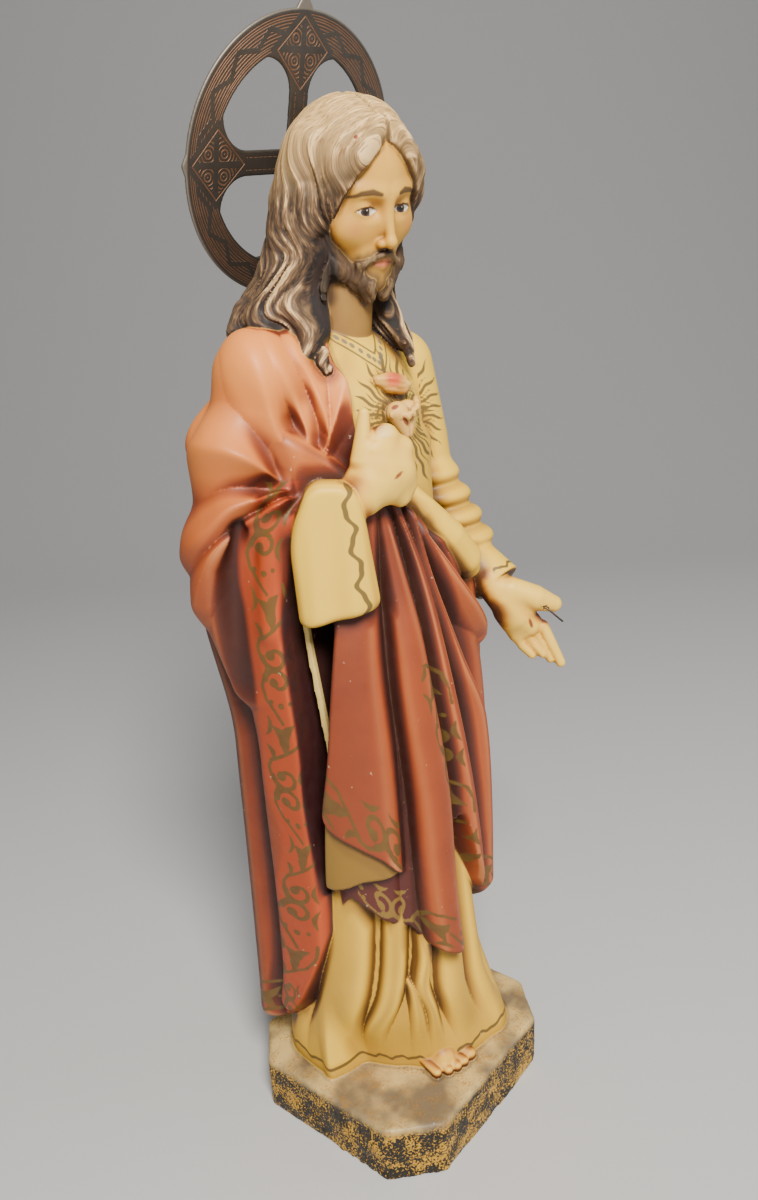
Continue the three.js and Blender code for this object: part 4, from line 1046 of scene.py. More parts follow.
def boxed(p, name):
    """The distance to a named shape, or a large one outside its box."""
    reach = -nowhere(p.z)
    low, high = BOXES[name]
    index = p.near([v - 4 for v in low], [v + 4 for v in high])
    if index.size:
        reach[index] = SHAPES[name](p.take(index))
    return reach


def material_distances(p):
    """The distance to each material's own shape, and to the beard."""
    combed, curls, flesh = (-nowhere(p.z) for _ in range(3))
    index = p.near(*BOXES["head"])
    combed[index], curls[index], flesh[index] = head_parts(p.take(index))
    skin = [boxed(p, name) for name in ("right_hand", "left_hand", "foot")]
    red, cream = cloths(p)
    return {
        "red": red, "cream": np.minimum(cream, boxed(p, "sleeve")), "hair": np.minimum(combed, curls),
        "skin": np.min([flesh] + skin, axis=0), "heart": boxed(p, "heart"), "base": boxed(p, "base"),
    }, curls


def stroke(across, along, lines):
    """How far inside a drawing each spot lies: a drawing is lines of [across, along, half width]."""
    inside = nowhere(across)
    for line in lines:
        for (a0, b0, w0), (a1, b1, w1) in zip(line, line[1:]):
            da, db = a1 - a0, b1 - b0
            t = ((across - a0) * da + (along - b0) * db) / max(da * da + db * db, 1e-6)
            t = np.clip(t, 0, 1)
            away = length(across - a0 - t * da, along - b0 - t * db)
            inside = np.maximum(inside, w0 + (w1 - w0) * t - away)
    return inside


VOLUTE = {"radius": 6, "turns": 0.95, "tighten": 0.62, "steps": 14, "half": 1, "dot": 2.3}
LEAF_OUTLINE = ((0, 0.25), (0.25, 0.75), (0.5, 1), (0.75, 0.7), (1, 0.1))
LEAF_BEND = 0.2
STEM_HALF = 0.85
STEMS = [
    [[3, 0], [1.5, 4], [2.6, 9], [5, 13], [2.8, 17], [1.2, 22], [2.6, 28], [6, 33], [10, 39]],
    [[18, 35], [18.8, 42], [16.6, 49], [10, 54], [4, 58]],
]
DOTS = [[5, 29, 1.1], [9.6, 30.4, 1.5], [14, 29, 1.1]]
LEAVES = [
    [17.6, 2, 18.6, 12, 1.2, 1], [17.6, 26, 18.8, 15, 1.2, -1], [10, 53, 4.6, 41, 2.7, 1],
    [10, 53, 15.4, 39, 2.7, -1], [2.4, 36, 0.6, 47, 1.2, -1], [4, 58, 0.8, 51, 1.4, 1],
]
SCROLL_LENGTH = 58
SCROLL_MIDDLE = 10


def volute(across, along, side):
    """A volute that winds in from its rim and ends in a large dot."""
    line = []
    for i in range(VOLUTE["steps"] + 1):
        t = i / VOLUTE["steps"]
        angle = math.pi + side * VOLUTE["turns"] * 2 * math.pi * t
        r = VOLUTE["radius"] * (1 - VOLUTE["tighten"] * t)
        line.append([across + r * math.cos(angle), along + r * math.sin(angle), VOLUTE["half"]])
    return [line, [[line[-1][0], line[-1][1], VOLUTE["dot"]]] * 2]


def leaf(across, along, to_across, to_along, half, side):
    """An almond of a leaf with a slight bend."""
    da, db = to_across - across, to_along - along
    line = []
    for t, share in LEAF_OUTLINE:
        sag = side * LEAF_BEND * math.sin(math.pi * t)
        line.append([across + da * t - db * sag, along + db * t + da * sag, half * share])
    return line


def scroll_lines():
    """One repeat of the scrollwork: stems, two volutes back to back, dots and leaves."""
    lines = [[[across, along, STEM_HALF] for across, along in stem] for stem in STEMS]
    lines += volute(9.4, 8, -1) + volute(9.4, 19, 1)
    lines += [[dot] * 2 for dot in DOTS]
    return lines + [leaf(*row) for row in LEAVES]


SCROLL = scroll_lines()


def scrollwork(across, along):
    """Scrollwork that repeats along a border."""
    inside = nowhere(across)
    near = np.flatnonzero((across > -4) & (across < 24))
    place = along[near] % SCROLL_LENGTH
    for shift in (-SCROLL_LENGTH, 0, SCROLL_LENGTH):
        close = near[(place + shift > -10) & (place + shift < SCROLL_LENGTH + 10)]
        here = along[close] % SCROLL_LENGTH + shift
        inside[close] = np.maximum(inside[close], stroke(across[close], here, SCROLL))
    return inside


band_middle = Profile([
    [50, -51], [72, -46], [92, -43.5], [114, -40.5], [131, -38.5], [156, -42.7], [180, -42.5], [204, -42],
    [222, -42.5], [239, -43], [253, -44.1], [272, -41.6], [286, -34.4],
])
band_half = Profile([
    [50, 5], [72, 10.5], [92, 11.5], [114, 8], [131, 7.5], [156, 9], [204, 8.4], [286, 7.6],
])
edge_rise = Profile([[84, -10], [112, -6], [141, 0], [174, 8], [200, 15]])
HANGING_ANGLES = (64, 122)
BAND_TOP = 292
LOWER_TIER = 114


def border(p):
    """The scrollwork of the mantle's borders, and how far inside the hanging border each spot lies."""
    angle, reach = round_body(p)
    hanging = (angle > HANGING_ANGLES[0]) & (angle < HANGING_ANGLES[1]) & (p.z < BAND_TOP)
    off = p.across() - band_middle(p.z)
    hem = p.z - mantle_hem(angle)
    low = (hem > -3) & (hem < 26) & ~hanging & ((angle < 40) | (p.z < LOWER_TIER))
    flap = (p.z - panel_hem(angle)) * 0.72
    front = (angle > 40) & (angle < 84) & (flap > 0) & (flap < 26) & (inside_panel(p) > -3)
    side = (edge_rise(p.z) - angle) * (reach / DEGREES)
    rise = (angle < 26) & (angle > -24) & (p.z > 100) & (p.z < 212) & (side > -9) & (side < 9)
    ornament = nowhere(p.z)
    for where, across, along in (
        (hanging, SCROLL_MIDDLE + 9.5 * off / band_half(p.z), 286 - p.z),
        (low, hem - 1.5, angle * 1.1 + 20),
        (front, flap - 1.5, 71 - 1.2 * angle),
        (rise, side + SCROLL_MIDDLE, p.z + 20),
    ):
        ornament = np.where(where, scrollwork(only(where, across), along), ornament)
    panel = np.minimum(band_half(p.z) + 2.5 - np.abs(off), BAND_TOP - p.z)
    return ornament, only(hanging, panel)


def inside_panel(p):
    angle, reach = round_body(p)
    out = body_radius(angle, p.z) + fold_height(PANEL_FOLD, angle, p.z)
    return reach - out - MANTLE_OUT + 2.5


def fold_shade(p):
    """How high each spot lies on its fold, for painted shade: 1 on a crest and 0 in a valley, and lower
    still behind the hanging border and in the elbow's valley.
    """
    angle, _ = round_body(p)
    shade = fold_height(MANTLE_FOLDS, angle, p.z) / 8.5
    on_panel = (inside_panel(p) > -1.5) & (angle > 40) & (angle < 84) & (p.z > panel_hem(angle) - 1)
    shade = np.where(on_panel, 0.3 + fold_height(PANEL_FOLD, angle, p.z) / 20, shade)
    high = np.flatnonzero(p.z > 190)
    q = p.take(high)
    on_arm = np.minimum(np.abs(mantled_arm(q)), np.abs(mantled_breast(q))) < 1.5
    shade[high] = np.maximum(shade[high], 0.7 * smooth_step(250, 275, q.z))
    shade[high] = np.where(on_arm, 0.75 + fan_height(q) / 13, shade[high])
    behind = smooth_step(115, 118, angle) * smooth_step(166, 146, angle) * smooth_step(262, 236, p.z)
    valley = np.maximum(0.7 * behind, smooth_step(5, -1, chain(p, ELBOW_VALLEY)))
    return np.clip(shade * (1 - valley), 0, 1)


def lining_shade(p):
    """How far inside the shaded lining, which shows under the front panel, each spot lies."""
    angle, _ = round_body(p)
    sides = np.minimum(angle - 36, 86 - angle) * 0.7
    return np.minimum(sides, np.minimum(p.z - lining_hem(angle) + 2, panel_hem(angle) + 3 - p.z))


def lower_tier(p):
    """How far inside the lower tier, which shows under the lining and is painted in shade there, each
    spot lies.
    """
    angle, _ = round_body(p)
    return np.minimum(np.minimum(angle - 34, 80 - angle) * 0.7, lining_hem(angle) + 1 - p.z)


# Dark lines on the cream cloth

SLEEVE_WAVE = Profile([[232, -3], [240, -4.6], [290, -10.5]])
CUFF_WAVE_BACK = 3.4


def wave(along, size, cell):
    """A wavy line with a smaller, quicker wave on it."""
    phase = along * 2 * math.pi / cell
    return size * np.sin(phase) + 0.3 * size * np.sin(phase * 2.3 + 1)


def dark_lines(p):
    """The wavy lines on the right sleeve, the tunic's hem and the left cuff."""
    across, deep = p.across(), p.deep()
    on_sleeve = (p.z > 232) & (p.z < 294) & (across < 4) & (across > -20) & (deep < -40)
    line = 1.05 - np.abs(across - SLEEVE_WAVE(p.z) - wave(p.z, 1.5, 15))
    dark = only(on_sleeve, line)
    angle, reach = round_body(p)
    low = p.z - 5.6 - wave(angle * 0.8, 0.9, 13)
    hem = 0.8 - np.abs(low) * 0.9
    spread = reach > hem_reach(angle) - 8
    dark = np.where((p.z < 12) & (p.z > 1) & spread, np.maximum(dark, hem), dark)
    cuff = (p.x > 38) & (p.z > 206) & (p.z < 252) & (p.y < 0)
    rim_x, rim_y, rim_z, rim_radius = CUFF["rim"]
    upward = (p.z - rim_z) * -CUFF_WAY[1] + (p.y - rim_y) * CUFF_WAY[2]
    round_cuff = np.arctan2(p.x - rim_x, upward) * rim_radius
    cuff_line = 0.8 - np.abs(past_cuff(p) + CUFF_WAVE_BACK + wave(round_cuff, 0.9, 10))
    return np.where(cuff, np.maximum(dark, cuff_line), dark)


RAYS_AT = (14.5, 308)
RAYS_INNER = (5.5, 7.5)
RAYS_OUTER = (22, 32)
RAYS = 44


def rays(p):
    """The wavy rays round the heart, broad and narrow in turn, as seen from the front right."""
    across = p.across() - RAYS_AT[0]
    above = p.z - RAYS_AT[1] + 0.25 * across
    inner = length(across / RAYS_INNER[0], above / RAYS_INNER[1])
    outer = length(across / RAYS_OUTER[0], above / RAYS_OUTER[1])
    far = length(across, above)
    around = np.arctan2(across, above)
    turned = around + 0.55 * np.sin(far * 0.75 + 2 * around) / (far + 4)
    place = turned * RAYS / (2 * math.pi)
    number = np.floor(place)
    away = np.abs(place - number - 0.5) * 2 * math.pi / RAYS * far
    odd = number % 2
    reach = (0.86 + 0.14 * odd - outer) * 16
    half = 0.36 + 0.36 * odd
    taper = np.minimum(smooth_step(-0.1, 0.25, inner - 1), smooth_step(0, 4, reach))
    ray = half * taper - away
    ray = np.minimum(ray, np.minimum(reach, (inner - 1) * 10))
    return only((p.y < 2) & (p.z > 262) & (p.z < 345), ray)


COLLAR = [
    [-13, 342, 3], [-9, 338.5, 3.2], [-4, 334, 3.3], [0, 331, 3.4], [4, 334, 3.3], [9, 338.5, 3.2],
    [13, 342, 3],
]
COLLAR_DOT = 1.05


def collar(p):
    """The collar's two lines with a row of dots between them."""
    band = stroke(p.x, p.z, [COLLAR])
    line = 0.42 - np.abs(band - 0.45)
    dots = [[[x, z, COLLAR_DOT], [x + 0.1, z, COLLAR_DOT]] for x, z, _ in COLLAR]
    for (x0, z0, _), (x1, z1, _) in zip(COLLAR, COLLAR[1:]):
        dots.append([[(x0 + x1) / 2, (z0 + z1) / 2, COLLAR_DOT]] * 2)
    front = (p.y < 8) & (p.z > 320) & (p.z < 352)
    return only(front, line), only(front, stroke(p.x, p.z, dots))


# The painted face, on the head's own measures

BROW = [[4.4, 4.7, 0.7], [7.5, 5.4, 1.1], [11.5, 4.7, 0.9], [15.5, 2.6, 0.4]]
LASH = [[4.3, -1.5, 0.3], [6, -0.6, 0.4], [8.4, -0.2, 0.45], [11, -0.6, 0.4], [13, -1.9, 0.3]]


def face_paint(p):
    h = to_head(p)
    near = (h.y < -8) & (np.abs(h.x) < 19) & (h.z < 16) & (h.z > -32) & (p.z > 355)
    side = np.abs(h.x)
    upper, lower = lid_lines(side)
    above = h.z - EYE[2]
    opening = np.minimum(upper - above, above - lower) * 0.8
    opening = np.minimum(opening, 4.2 - np.abs(side - EYE[0]))
    gaze = h.x - np.sign(h.x) * EYE[0] + 0.5
    iris = 2 - length(gaze, above + 0.8)
    pupil = 1.1 - length(gaze, above + 0.8)
    glint = 0.3 - length(gaze - 0.5, above - 0.1)
    brow = stroke(side, h.z, [BROW])
    lash = stroke(side, h.z, [LASH])
    lips = 1 - length(h.x / 5.2, (h.z + 21) / 2.2)
    blush = np.maximum(1 - length((side - 13) / 6, (h.z + 8) / 5.5), 0)
    shadow = np.maximum(1 - length((side - 6.2) / 4.2, (h.z - 0.6) / 2.6), 0)
    traits = {
        "eye": opening, "iris": iris, "pupil": pupil, "glint": glint, "brow": brow, "lash": lash,
        "lips": lips,
    }
    painted = {name: only(near, trait) for name, trait in traits.items()}
    painted["blush"] = np.where(near, blush, 0)
    painted["shadow"] = np.where(near, shadow, 0)
    return painted


WOUNDS = [
    {"at": (10.3, 292), "half": (2.4, 0.8), "tilt": 35, "deep": (-60, -10)},
    {"at": (70.6, 207.6), "half": (3, 0.9), "tilt": -72, "deep": (5, 40)},
    {"at": (10.8, 314.4), "half": (1.7, 0.9), "tilt": 20, "deep": (-40, 10)},
    {"at": (14.8, 308.6), "half": (2.6, 0.9), "tilt": -65, "deep": (-40, 10)},
    {"at": (77.4, 216.2), "half": (1, 0.5), "tilt": 15, "deep": (5, 40)},
]
HAIR_HOLES = [(0.8, 411.7, 0.9), (-25.3, 417, 0.5)]
STUB = seen(6, -41, 309.5, 3.8)
FLUSH = {"across": 11, "z": 325.1, "radius": 3.6}


def spot_paint(p):
    """The painted wounds, and the bare end of the broken forefinger."""
    across, deep = p.across(), p.deep()
    wound = nowhere(p.z)
    for mark in WOUNDS:
        du, dz = across - mark["at"][0], p.z - mark["at"][1]
        c, s = math.cos(mark["tilt"] / DEGREES), math.sin(mark["tilt"] / DEGREES)
        long, narrow = mark["half"]
        inside = (1 - length((du * c + dz * s) / long, (dz * c - du * s) / narrow)) * narrow
        here = (deep > mark["deep"][0]) & (deep < mark["deep"][1])
        wound = np.where(here, np.maximum(wound, inside), wound)
    # The two small pits in the hair are not carved: they are painted dark, as painted shade for their
    # hollows
    for hole_across, hole_z, radius in HAIR_HOLES:
        hole = only(deep < 0, radius - length(across - hole_across, p.z - hole_z))
        wound = np.maximum(wound, hole)
    chip = STUB[3] - length(p.x - STUB[0], p.y - STUB[1], p.z - STUB[2])
    return wound, chip


# The hollows between the hair, the face and the neck, which are painted in shadow
RECESS = [[19.5, -10, 6, 2], [18.5, -10, -6, 4], [16, -9, -20, 5], [13, -6, -30, 5]]
DUSK = [seen(-14, -10, 371, 5), seen(-14, -10.5, 357, 6), seen(-12.5, -15, 347, 4.5)]


def painted_traits(points, normals):
    p = Spots(*points.T)
    distances, curls = material_distances(p)
    traits = {name: inside_of(distances, name) for name in ("red", "skin", "hair", "heart", "base")}
    traits["beard"] = curls
    # How open the carving lies round each point, close by and further out: the paint turns this into
    # painted shade in folds and hollows
    traits["open"] = openness(points, normals, 2.5)
    traits["wide"] = openness(points, normals, 9)
    # How solid the carving is behind each point: narrow crests get painted highlight, and worn specks
    traits["crest"] = solidness(points, normals, 2.2)
    # Painted shade in the mantle's fold valleys
    traits["fold"] = fold_shade(p)
    traits["scroll"], traits["panel"] = border(p)
    traits["tier"], traits["lining"] = lower_tier(p), lining_shade(p)
    traits["gap"], traits["strip"] = nowhere(p.z), nowhere(p.z)
    slit = p.near(*SLIT_BOX)
    q = p.take(slit)
    traits["gap"][slit] = only(right_sleeve(q) > 1, 0.6 - slit_cut(q))
    traits["strip"][slit] = np.minimum(0.8 - strip(q), strip_rim(q))
    facing = -Spots(*normals.T).deep()
    traits["dark"] = np.maximum(dark_lines(p), np.minimum(rays(p), (facing - 0.25) * 12))
    traits["collar"], traits["dots"] = collar(p)
    traits["wound"], traits["chip"] = spot_paint(p)
    traits.update(face_paint(p))
    traits["flush"] = FLUSH["radius"] - length(p.across() - FLUSH["across"], p.z - FLUSH["z"])
    h = to_head(p)
    # Painted shadow in the hollows beside the face and under the hair
    traits["recess"] = -np.minimum(chain(Spots(np.abs(h.x), h.y, h.z), RECESS), chain(p, DUSK))
    traits = {name: np.clip(trait, OUTSIDE, -OUTSIDE) for name, trait in traits.items()}
    traits["comb_across"], traits["comb_along"], _ = combing(p, h)
    return traits


# The painted surface


def srgb(color):
    """The linear colour, opaque, of a screen colour given from 0 to 255."""
    shares = [value / 255 for value in color]
    linear = (s / 12.92 if s <= 0.04045 else ((s + 0.055) / 1.055) ** 2.4 for s in shares)
    return (*linear, 1)


class Value:
    """A number or colour that a material works out at every spot."""

    def __init__(self, paint, socket):
        self.paint, self.socket = paint, socket

    def __add__(self, other):
        return self.paint.math("ADD", self, other)

    def __sub__(self, other):
        return self.paint.math("SUBTRACT", self, other)

    def __rsub__(self, other):
        return self.paint.math("SUBTRACT", other, self)

    def __mul__(self, other):
        return self.paint.math("MULTIPLY", self, other)

    def __truediv__(self, other):
        return self.paint.math("DIVIDE", self, other)

    def __abs__(self):
        return self.paint.math("ABSOLUTE", self)

    def low(self, other):
        return self.paint.math("MINIMUM", self, other)

    def high(self, other):
        return self.paint.math("MAXIMUM", self, other)

    def zigzag(self, size):
        return self.paint.math("PINGPONG", self, size)

    def only(self, mask):
        """A drawing's own value where the mask is 1, and well outside the drawing where it is 0."""
        return (self + 5) * mask - 5


class Paint:
    """A node material written as expressions. Its colours are given from 0 to 255."""

    def __init__(self, name):
        self.material = bpy.data.materials.new(name)
        self.material.use_nodes = True
        self.tree = self.material.node_tree
        self.shader = self.tree.nodes["Principled BSDF"]

    def feed(self, socket, value):
        if isinstance(value, Value):
            self.tree.links.new(value.socket, socket)
        elif isinstance(value, tuple):
            socket.default_value = srgb(value)
        else:
            socket.default_value = value

    def set(self, name, value):
        self.feed(self.shader.inputs[name], value)

    def trait(self, name):
        node = self.tree.nodes.new("ShaderNodeAttribute")
        node.attribute_name = name
        return Value(self, node.outputs["Fac"])

    def math(self, operation, *values):
        node = self.tree.nodes.new("ShaderNodeMath")
        node.operation = operation
        for socket, value in zip(node.inputs, values):
            self.feed(socket, value)
        return Value(self, node.outputs[0])

    def mix(self, first, second, share):
        node = self.tree.nodes.new("ShaderNodeMix")
        node.data_type = "RGBA"
        self.feed(node.inputs[0], share)
        self.feed(node.inputs[6], first)
        self.feed(node.inputs[7], second)
        return Value(self, node.outputs[2])

    def fade(self, value, low, high, top=1):
        """A smooth rise from 0 at low to the top at high."""
        node = self.tree.nodes.new("ShaderNodeMapRange")
        node.interpolation_type = "SMOOTHSTEP"
        self.feed(node.inputs[0], value)
        node.inputs[1].default_value = low
        node.inputs[2].default_value = high
        node.inputs[4].default_value = top
        return Value(self, node.outputs[0])

    def layer(self, under, over, trait, low, high, top=1):
        """A colour laid over another where a trait rises from low to high."""
        return self.mix(under, over, self.fade(self.trait(trait), low, high, top))

    def place(self):
        return self.tree.nodes.new("ShaderNodeTexCoord").outputs["Object"]

    def noise(self, cell, detail):
        """Noise with cells of so many millimetres."""
        node = self.tree.nodes.new("ShaderNodeTexNoise")
        node.inputs["Scale"].default_value = 1000 / cell
        node.inputs["Detail"].default_value = detail
        self.tree.links.new(self.place(), node.inputs["Vector"])
        return Value(self, node.outputs[0])

    def combed(self, fine):
        """Noise drawn out along the combed strands, with so many cells a millimetre."""
        place = self.tree.nodes.new("ShaderNodeCombineXYZ")
        self.feed(place.inputs[0], self.trait("comb_across") * fine)
        self.feed(place.inputs[1], self.trait("comb_along") * (fine * 0.1))
        node = self.tree.nodes.new("ShaderNodeTexNoise")
        node.inputs["Scale"].default_value = 1
        self.tree.links.new(place.outputs[0], node.inputs["Vector"])
        return Value(self, node.outputs[0])

    def ramp(self, value, stops):
        node = self.tree.nodes.new("ShaderNodeValToRGB")
        self.feed(node.inputs[0], value)
        elements = node.color_ramp.elements
        while len(elements) < len(stops):
            elements.new(0.5)
        for element, (at, color) in zip(elements, stops):
            element.position = at
            element.color = srgb(color)
        return Value(self, node.outputs[0])

    def height(self):
        parts = self.tree.nodes.new("ShaderNodeSeparateXYZ")
        self.tree.links.new(self.place(), parts.inputs[0])
        return Value(self, parts.outputs[2])


GAP_SHADE = (50, 20, 22)


def cast_paint():
    paint = Paint("painted_cast")
    wide, near, crest = (paint.trait(name) for name in ("wide", "open", "crest"))
    cloud = paint.noise(22, 3)
    grain = paint.noise(1.6, 3)
    wear = paint.noise(5, 4)
    height = paint.height()
    clouded = (cloud - 0.5) * 0.2
    # Painted shade: the colours below run darker where the carving closes in round a spot, in folds and
    # hollows, partly the figure's own airbrushed shading
    depth = wide + clouded
    # The mantle's level: painted shade from openness and from the fold valleys, and a painted lift of
    # light higher on the body
    level = wide * 0.6 + paint.trait("fold") * 0.45 + clouded + paint.fade(height, 0.29, 0.33, 0.15)
    gap = paint.fade(paint.trait("gap"), -0.4, 0.4, 0.95)

    red = paint.ramp(level, [
        (0.3, (56, 20, 12)), (0.55, (86, 33, 17)), (0.74, (124, 50, 20)), (0.9, (154, 67, 25)),
        (1, (168, 79, 30)),
    ])
    # A painted highlight on the mantle's upper parts where its folds stand out, partly its own lighter
    # paint on the shoulders
    upper = paint.fade(height, 0.28, 0.37)
    red = paint.mix(red, (238, 146, 62), paint.fade(level, 0.7, 1.05, 0.9) * upper)
    # A painted highlight on narrow crests where the cloth lies open
    crest_highlight = paint.fade(crest, 0.9, 0.55, 0.3) * paint.fade(wide, 0.7, 0.95)
    red = paint.mix(red, (240, 172, 110), crest_highlight)
    # The hanging border's orange, darker in its folds as painted shade
    orange = paint.ramp(depth, [(0.2, (96, 32, 12)), (0.55, (162, 60, 18)), (0.95, (188, 76, 24))])
    red = paint.layer(red, orange, "panel", -1.5, 1.5)
    # Painted shade on the lower tier, under the lining and the front panel
    tier = paint.fade(paint.trait("tier"), -1, 1)
    red = paint.mix(red, (84, 34, 30), tier * 0.85)
    scroll = paint.trait("scroll") + (grain - 0.5) * 0.5
    olive = paint.mix((106, 84, 28), (84, 58, 24), wear)
    olive = paint.mix(olive, (136, 106, 40), tier)
    red = paint.mix(red, olive, paint.fade(scroll, -0.2, 0.25, 0.92))
    red = paint.mix(red, GAP_SHADE, gap)

    # The cream, darker in folds and hollows as painted shade, and lifted up on the breast as painted
    # light
    cream = paint.ramp(depth + paint.fade(height, 0.29, 0.31, 0.16), [
        (0.15, (112, 76, 26)), (0.35, (162, 116, 32)), (0.6, (202, 154, 40)), (0.85, (232, 184, 46)),
        (1, (242, 196, 54)),
    ])
    # A lighter cream along the hem, which eases off the painted shade there
    cream = paint.mix(cream, (216, 170, 50), paint.fade(height, 0.036, 0.03, 0.7))
    # Painted shade on the lining under the front panel
    cream = paint.layer(cream, (108, 78, 32), "lining", -1, 3, 0.75)
    cream = paint.mix(cream, GAP_SHADE, gap)
    # Painted light: the rim of the cream edge in the gap keeps a lit cream over the gap's painted shade
    cream = paint.layer(cream, (228, 196, 116), "strip", -0.3, 0.2)
    cream = paint.layer(cream, (88, 70, 38), "dark", -0.2, 0.25, 0.9)
    cream = paint.layer(cream, (94, 84, 50), "collar", -0.25, 0.15, 0.9)
    cream = paint.layer(cream, (108, 104, 86), "dots", -0.2, 0.2, 0.9)

    # The skin, darker in its hollows as painted shade
    skin = paint.ramp(depth, [
        (0.15, (100, 56, 24)), (0.45, (180, 116, 38)), (0.75, (234, 176, 58)), (1, (248, 202, 76)),
    ])
    skin = paint.mix(skin, (200, 142, 50), paint.fade(height, 0.36, 0.37, 0.65))
    # Painted shade on the neck under the beard and chin
    neck = paint.fade(height, 0.405, 0.385, 0.8) * paint.fade(height, 0.355, 0.36)
    skin = paint.mix(skin, (124, 92, 46), neck)
    skin = paint.mix(skin, (206, 112, 62), paint.trait("blush") * 0.5)
    skin = paint.mix(skin, (150, 100, 54), paint.trait("shadow") * 0.45)
    beard = paint.trait("beard")
    skin = paint.mix((100, 72, 44), skin, paint.fade(beard, -0.5, 3.4))
    skin = paint.layer(skin, (186, 92, 66), "lips", 0, 0.5, 0.75)
    skin = paint.layer(skin, (58, 36, 20), "brow", -0.5, 0.4, 0.9)
    skin = paint.layer(skin, (222, 216, 200), "eye", -0.1, 0.2)
    within = paint.fade(paint.trait("eye"), -0.1, 0.1)
    for name, tone in (("iris", (70, 46, 28)), ("pupil", (10, 8, 8))):
        skin = paint.mix(skin, tone, paint.fade(paint.trait(name), -0.1, 0.2) * within)
    skin = paint.layer(skin, (60, 38, 26), "lash", -0.2, 0.25, 0.85)
    skin = paint.layer(skin, (235, 235, 235), "glint", -0.1, 0.1)
    skin = paint.layer(skin, (232, 202, 150), "chip", 0, 0.8, 0.45)

    fine = paint.combed(2.6) - 0.5
    broad = paint.combed(0.9) - 0.5
    # Hair strands: painted shade in the grooves and painted highlight on the narrow crests, over combed
    # streaks
    strand = near * 0.7 + (1 - crest) * 0.8 + fine * 0.75 + broad * 0.45
    # A painted highlight on the crown, where light falls from above
    crown = paint.fade(height, 0.415, 0.455, 0.16)
    hair = paint.ramp(strand + crown, [
        (0.5, (28, 22, 20)), (0.66, (68, 51, 38)), (0.8, (114, 88, 60)), (0.92, (162, 128, 88)),
        (1, (214, 180, 128)),
    ])
    # Painted shade where the hair is closed in, beside the face and under the locks
    hair = paint.mix(hair, (40, 31, 28), paint.fade(wide, 0.75, 0.35, 0.85))
    hair = paint.mix(hair, (250, 204, 126), crown * 3)
    hair = paint.mix(hair, (104, 74, 44), paint.fade(fine, -0.03, -0.13, 0.5))
    hair = paint.mix(hair, (74, 52, 30), paint.fade(beard, 1.2, 0.2, 0.8))

    ember = height * 14 - 4.1 + (wear - 0.5) * 0.5
    heart = paint.ramp(ember, [(0.3, (214, 140, 84)), (0.55, (232, 184, 96)), (0.9, (236, 182, 84))])
    heart = paint.layer(heart, (204, 62, 34), "flush", -2, 2.6, 0.9)

    speckle = paint.noise(1, 4) * 0.6 + paint.noise(9, 4) * 0.4
    top = paint.mix((212, 180, 112), (116, 100, 76), paint.fade(paint.noise(26, 4), 0.38, 0.64))
    top = paint.mix(top, (160, 112, 32), paint.fade(speckle, 0.53, 0.6, 0.7))
    side = paint.mix((13, 11, 8), (32, 24, 11), cloud)
    side = paint.mix(side, (210, 158, 40), paint.fade(speckle, 0.49, 0.57, 0.9))
    base_color = paint.mix(side, top, paint.fade(height, 0.0235, 0.0275))

    color = paint.layer(cream, red, "red", -0.25, 0.25)
    color = paint.layer(color, base_color, "base", -0.3, 0.3)
    color = paint.layer(color, skin, "skin", -0.25, 0.25)
    color = paint.layer(color, hair, "hair", -0.5, 0.5)
    # Painted shadow in the hollows between the hair, the face and the neck
    color = paint.layer(color, (26, 20, 22), "recess", -1.5, 1.5, 0.92)
    color = paint.layer(color, heart, "heart", -0.25, 0.25)
    color = paint.layer(color, (128, 34, 24), "wound", -0.2, 0.35, 0.9)
    # Painted shade in narrow crevices all over the cast
    color = paint.mix(color, (58, 36, 20), paint.fade(near, 0.75, 0.3, 0.4))
    speck = paint.fade(paint.noise(3, 4), 0.7, 0.76, 0.4) * paint.fade(crest, 0.95, 0.7)
    color = paint.mix(color, (230, 206, 170), speck)

    rough = paint.fade(wear, 0.2, 0.9) * 0.2 + 0.5 + paint.fade(paint.trait("hair"), -0.5, 0.5, 0.25)
    paint.set("Base Color", color)
    paint.set("Roughness", rough)
    paint.set("Coat Weight", 0.08)
    paint.set("Coat Roughness", 0.35)
    return paint.material


values, lines = sample(figure, GRID)
points, quads = surface(values, lines)
points = points.astype(np.float32)
normals = outward(points)
traits = painted_traits(points, normals)
cast_material = cast_paint()

heights = points[quads, 2].mean(axis=1)
order = np.argsort(heights, kind="stable")
count = -(-2 * len(quads) // PIECE_TRIANGLES)
for number, chosen in enumerate(np.array_split(order, count)):
    faces = quads[chosen]
    used, faces_here = np.unique(faces, return_inverse=True)
    faces_here = faces_here.reshape(faces.shape)
    placed = points[used] + np.array([0, 0, BASE_HEIGHT], dtype=np.float32)
    piece = mesh_object("cast_figure_%d" % (number + 1), placed / 1000, faces_here)
    piece.data.normals_split_custom_set_from_vertices(normals[used])
    give_traits(piece, {name: trait[used] for name, trait in traits.items()})
    piece.data.materials.append(cast_material)
    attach(piece, "root")
    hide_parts("figure")


# The halo: a flat ring with four flared arms, engraved and rubbed with copper on its front

HALO = {
    "radius": 53, "rim": 12.8, "half_thick": 0.7, "arm": 4.6, "flare": 12.4, "fillet": 1.5,
    "tips": (1.6, 5.5, 1.6, 1.6), "tip_half": 0.075, "flare_at": 17,
}
HALO_PIN = {"radius": 1.1, "length": 9}
HALO_LEAN = Matrix.Rotation(5 / DEGREES, 3, "Z")
ROUNDED = 0.35


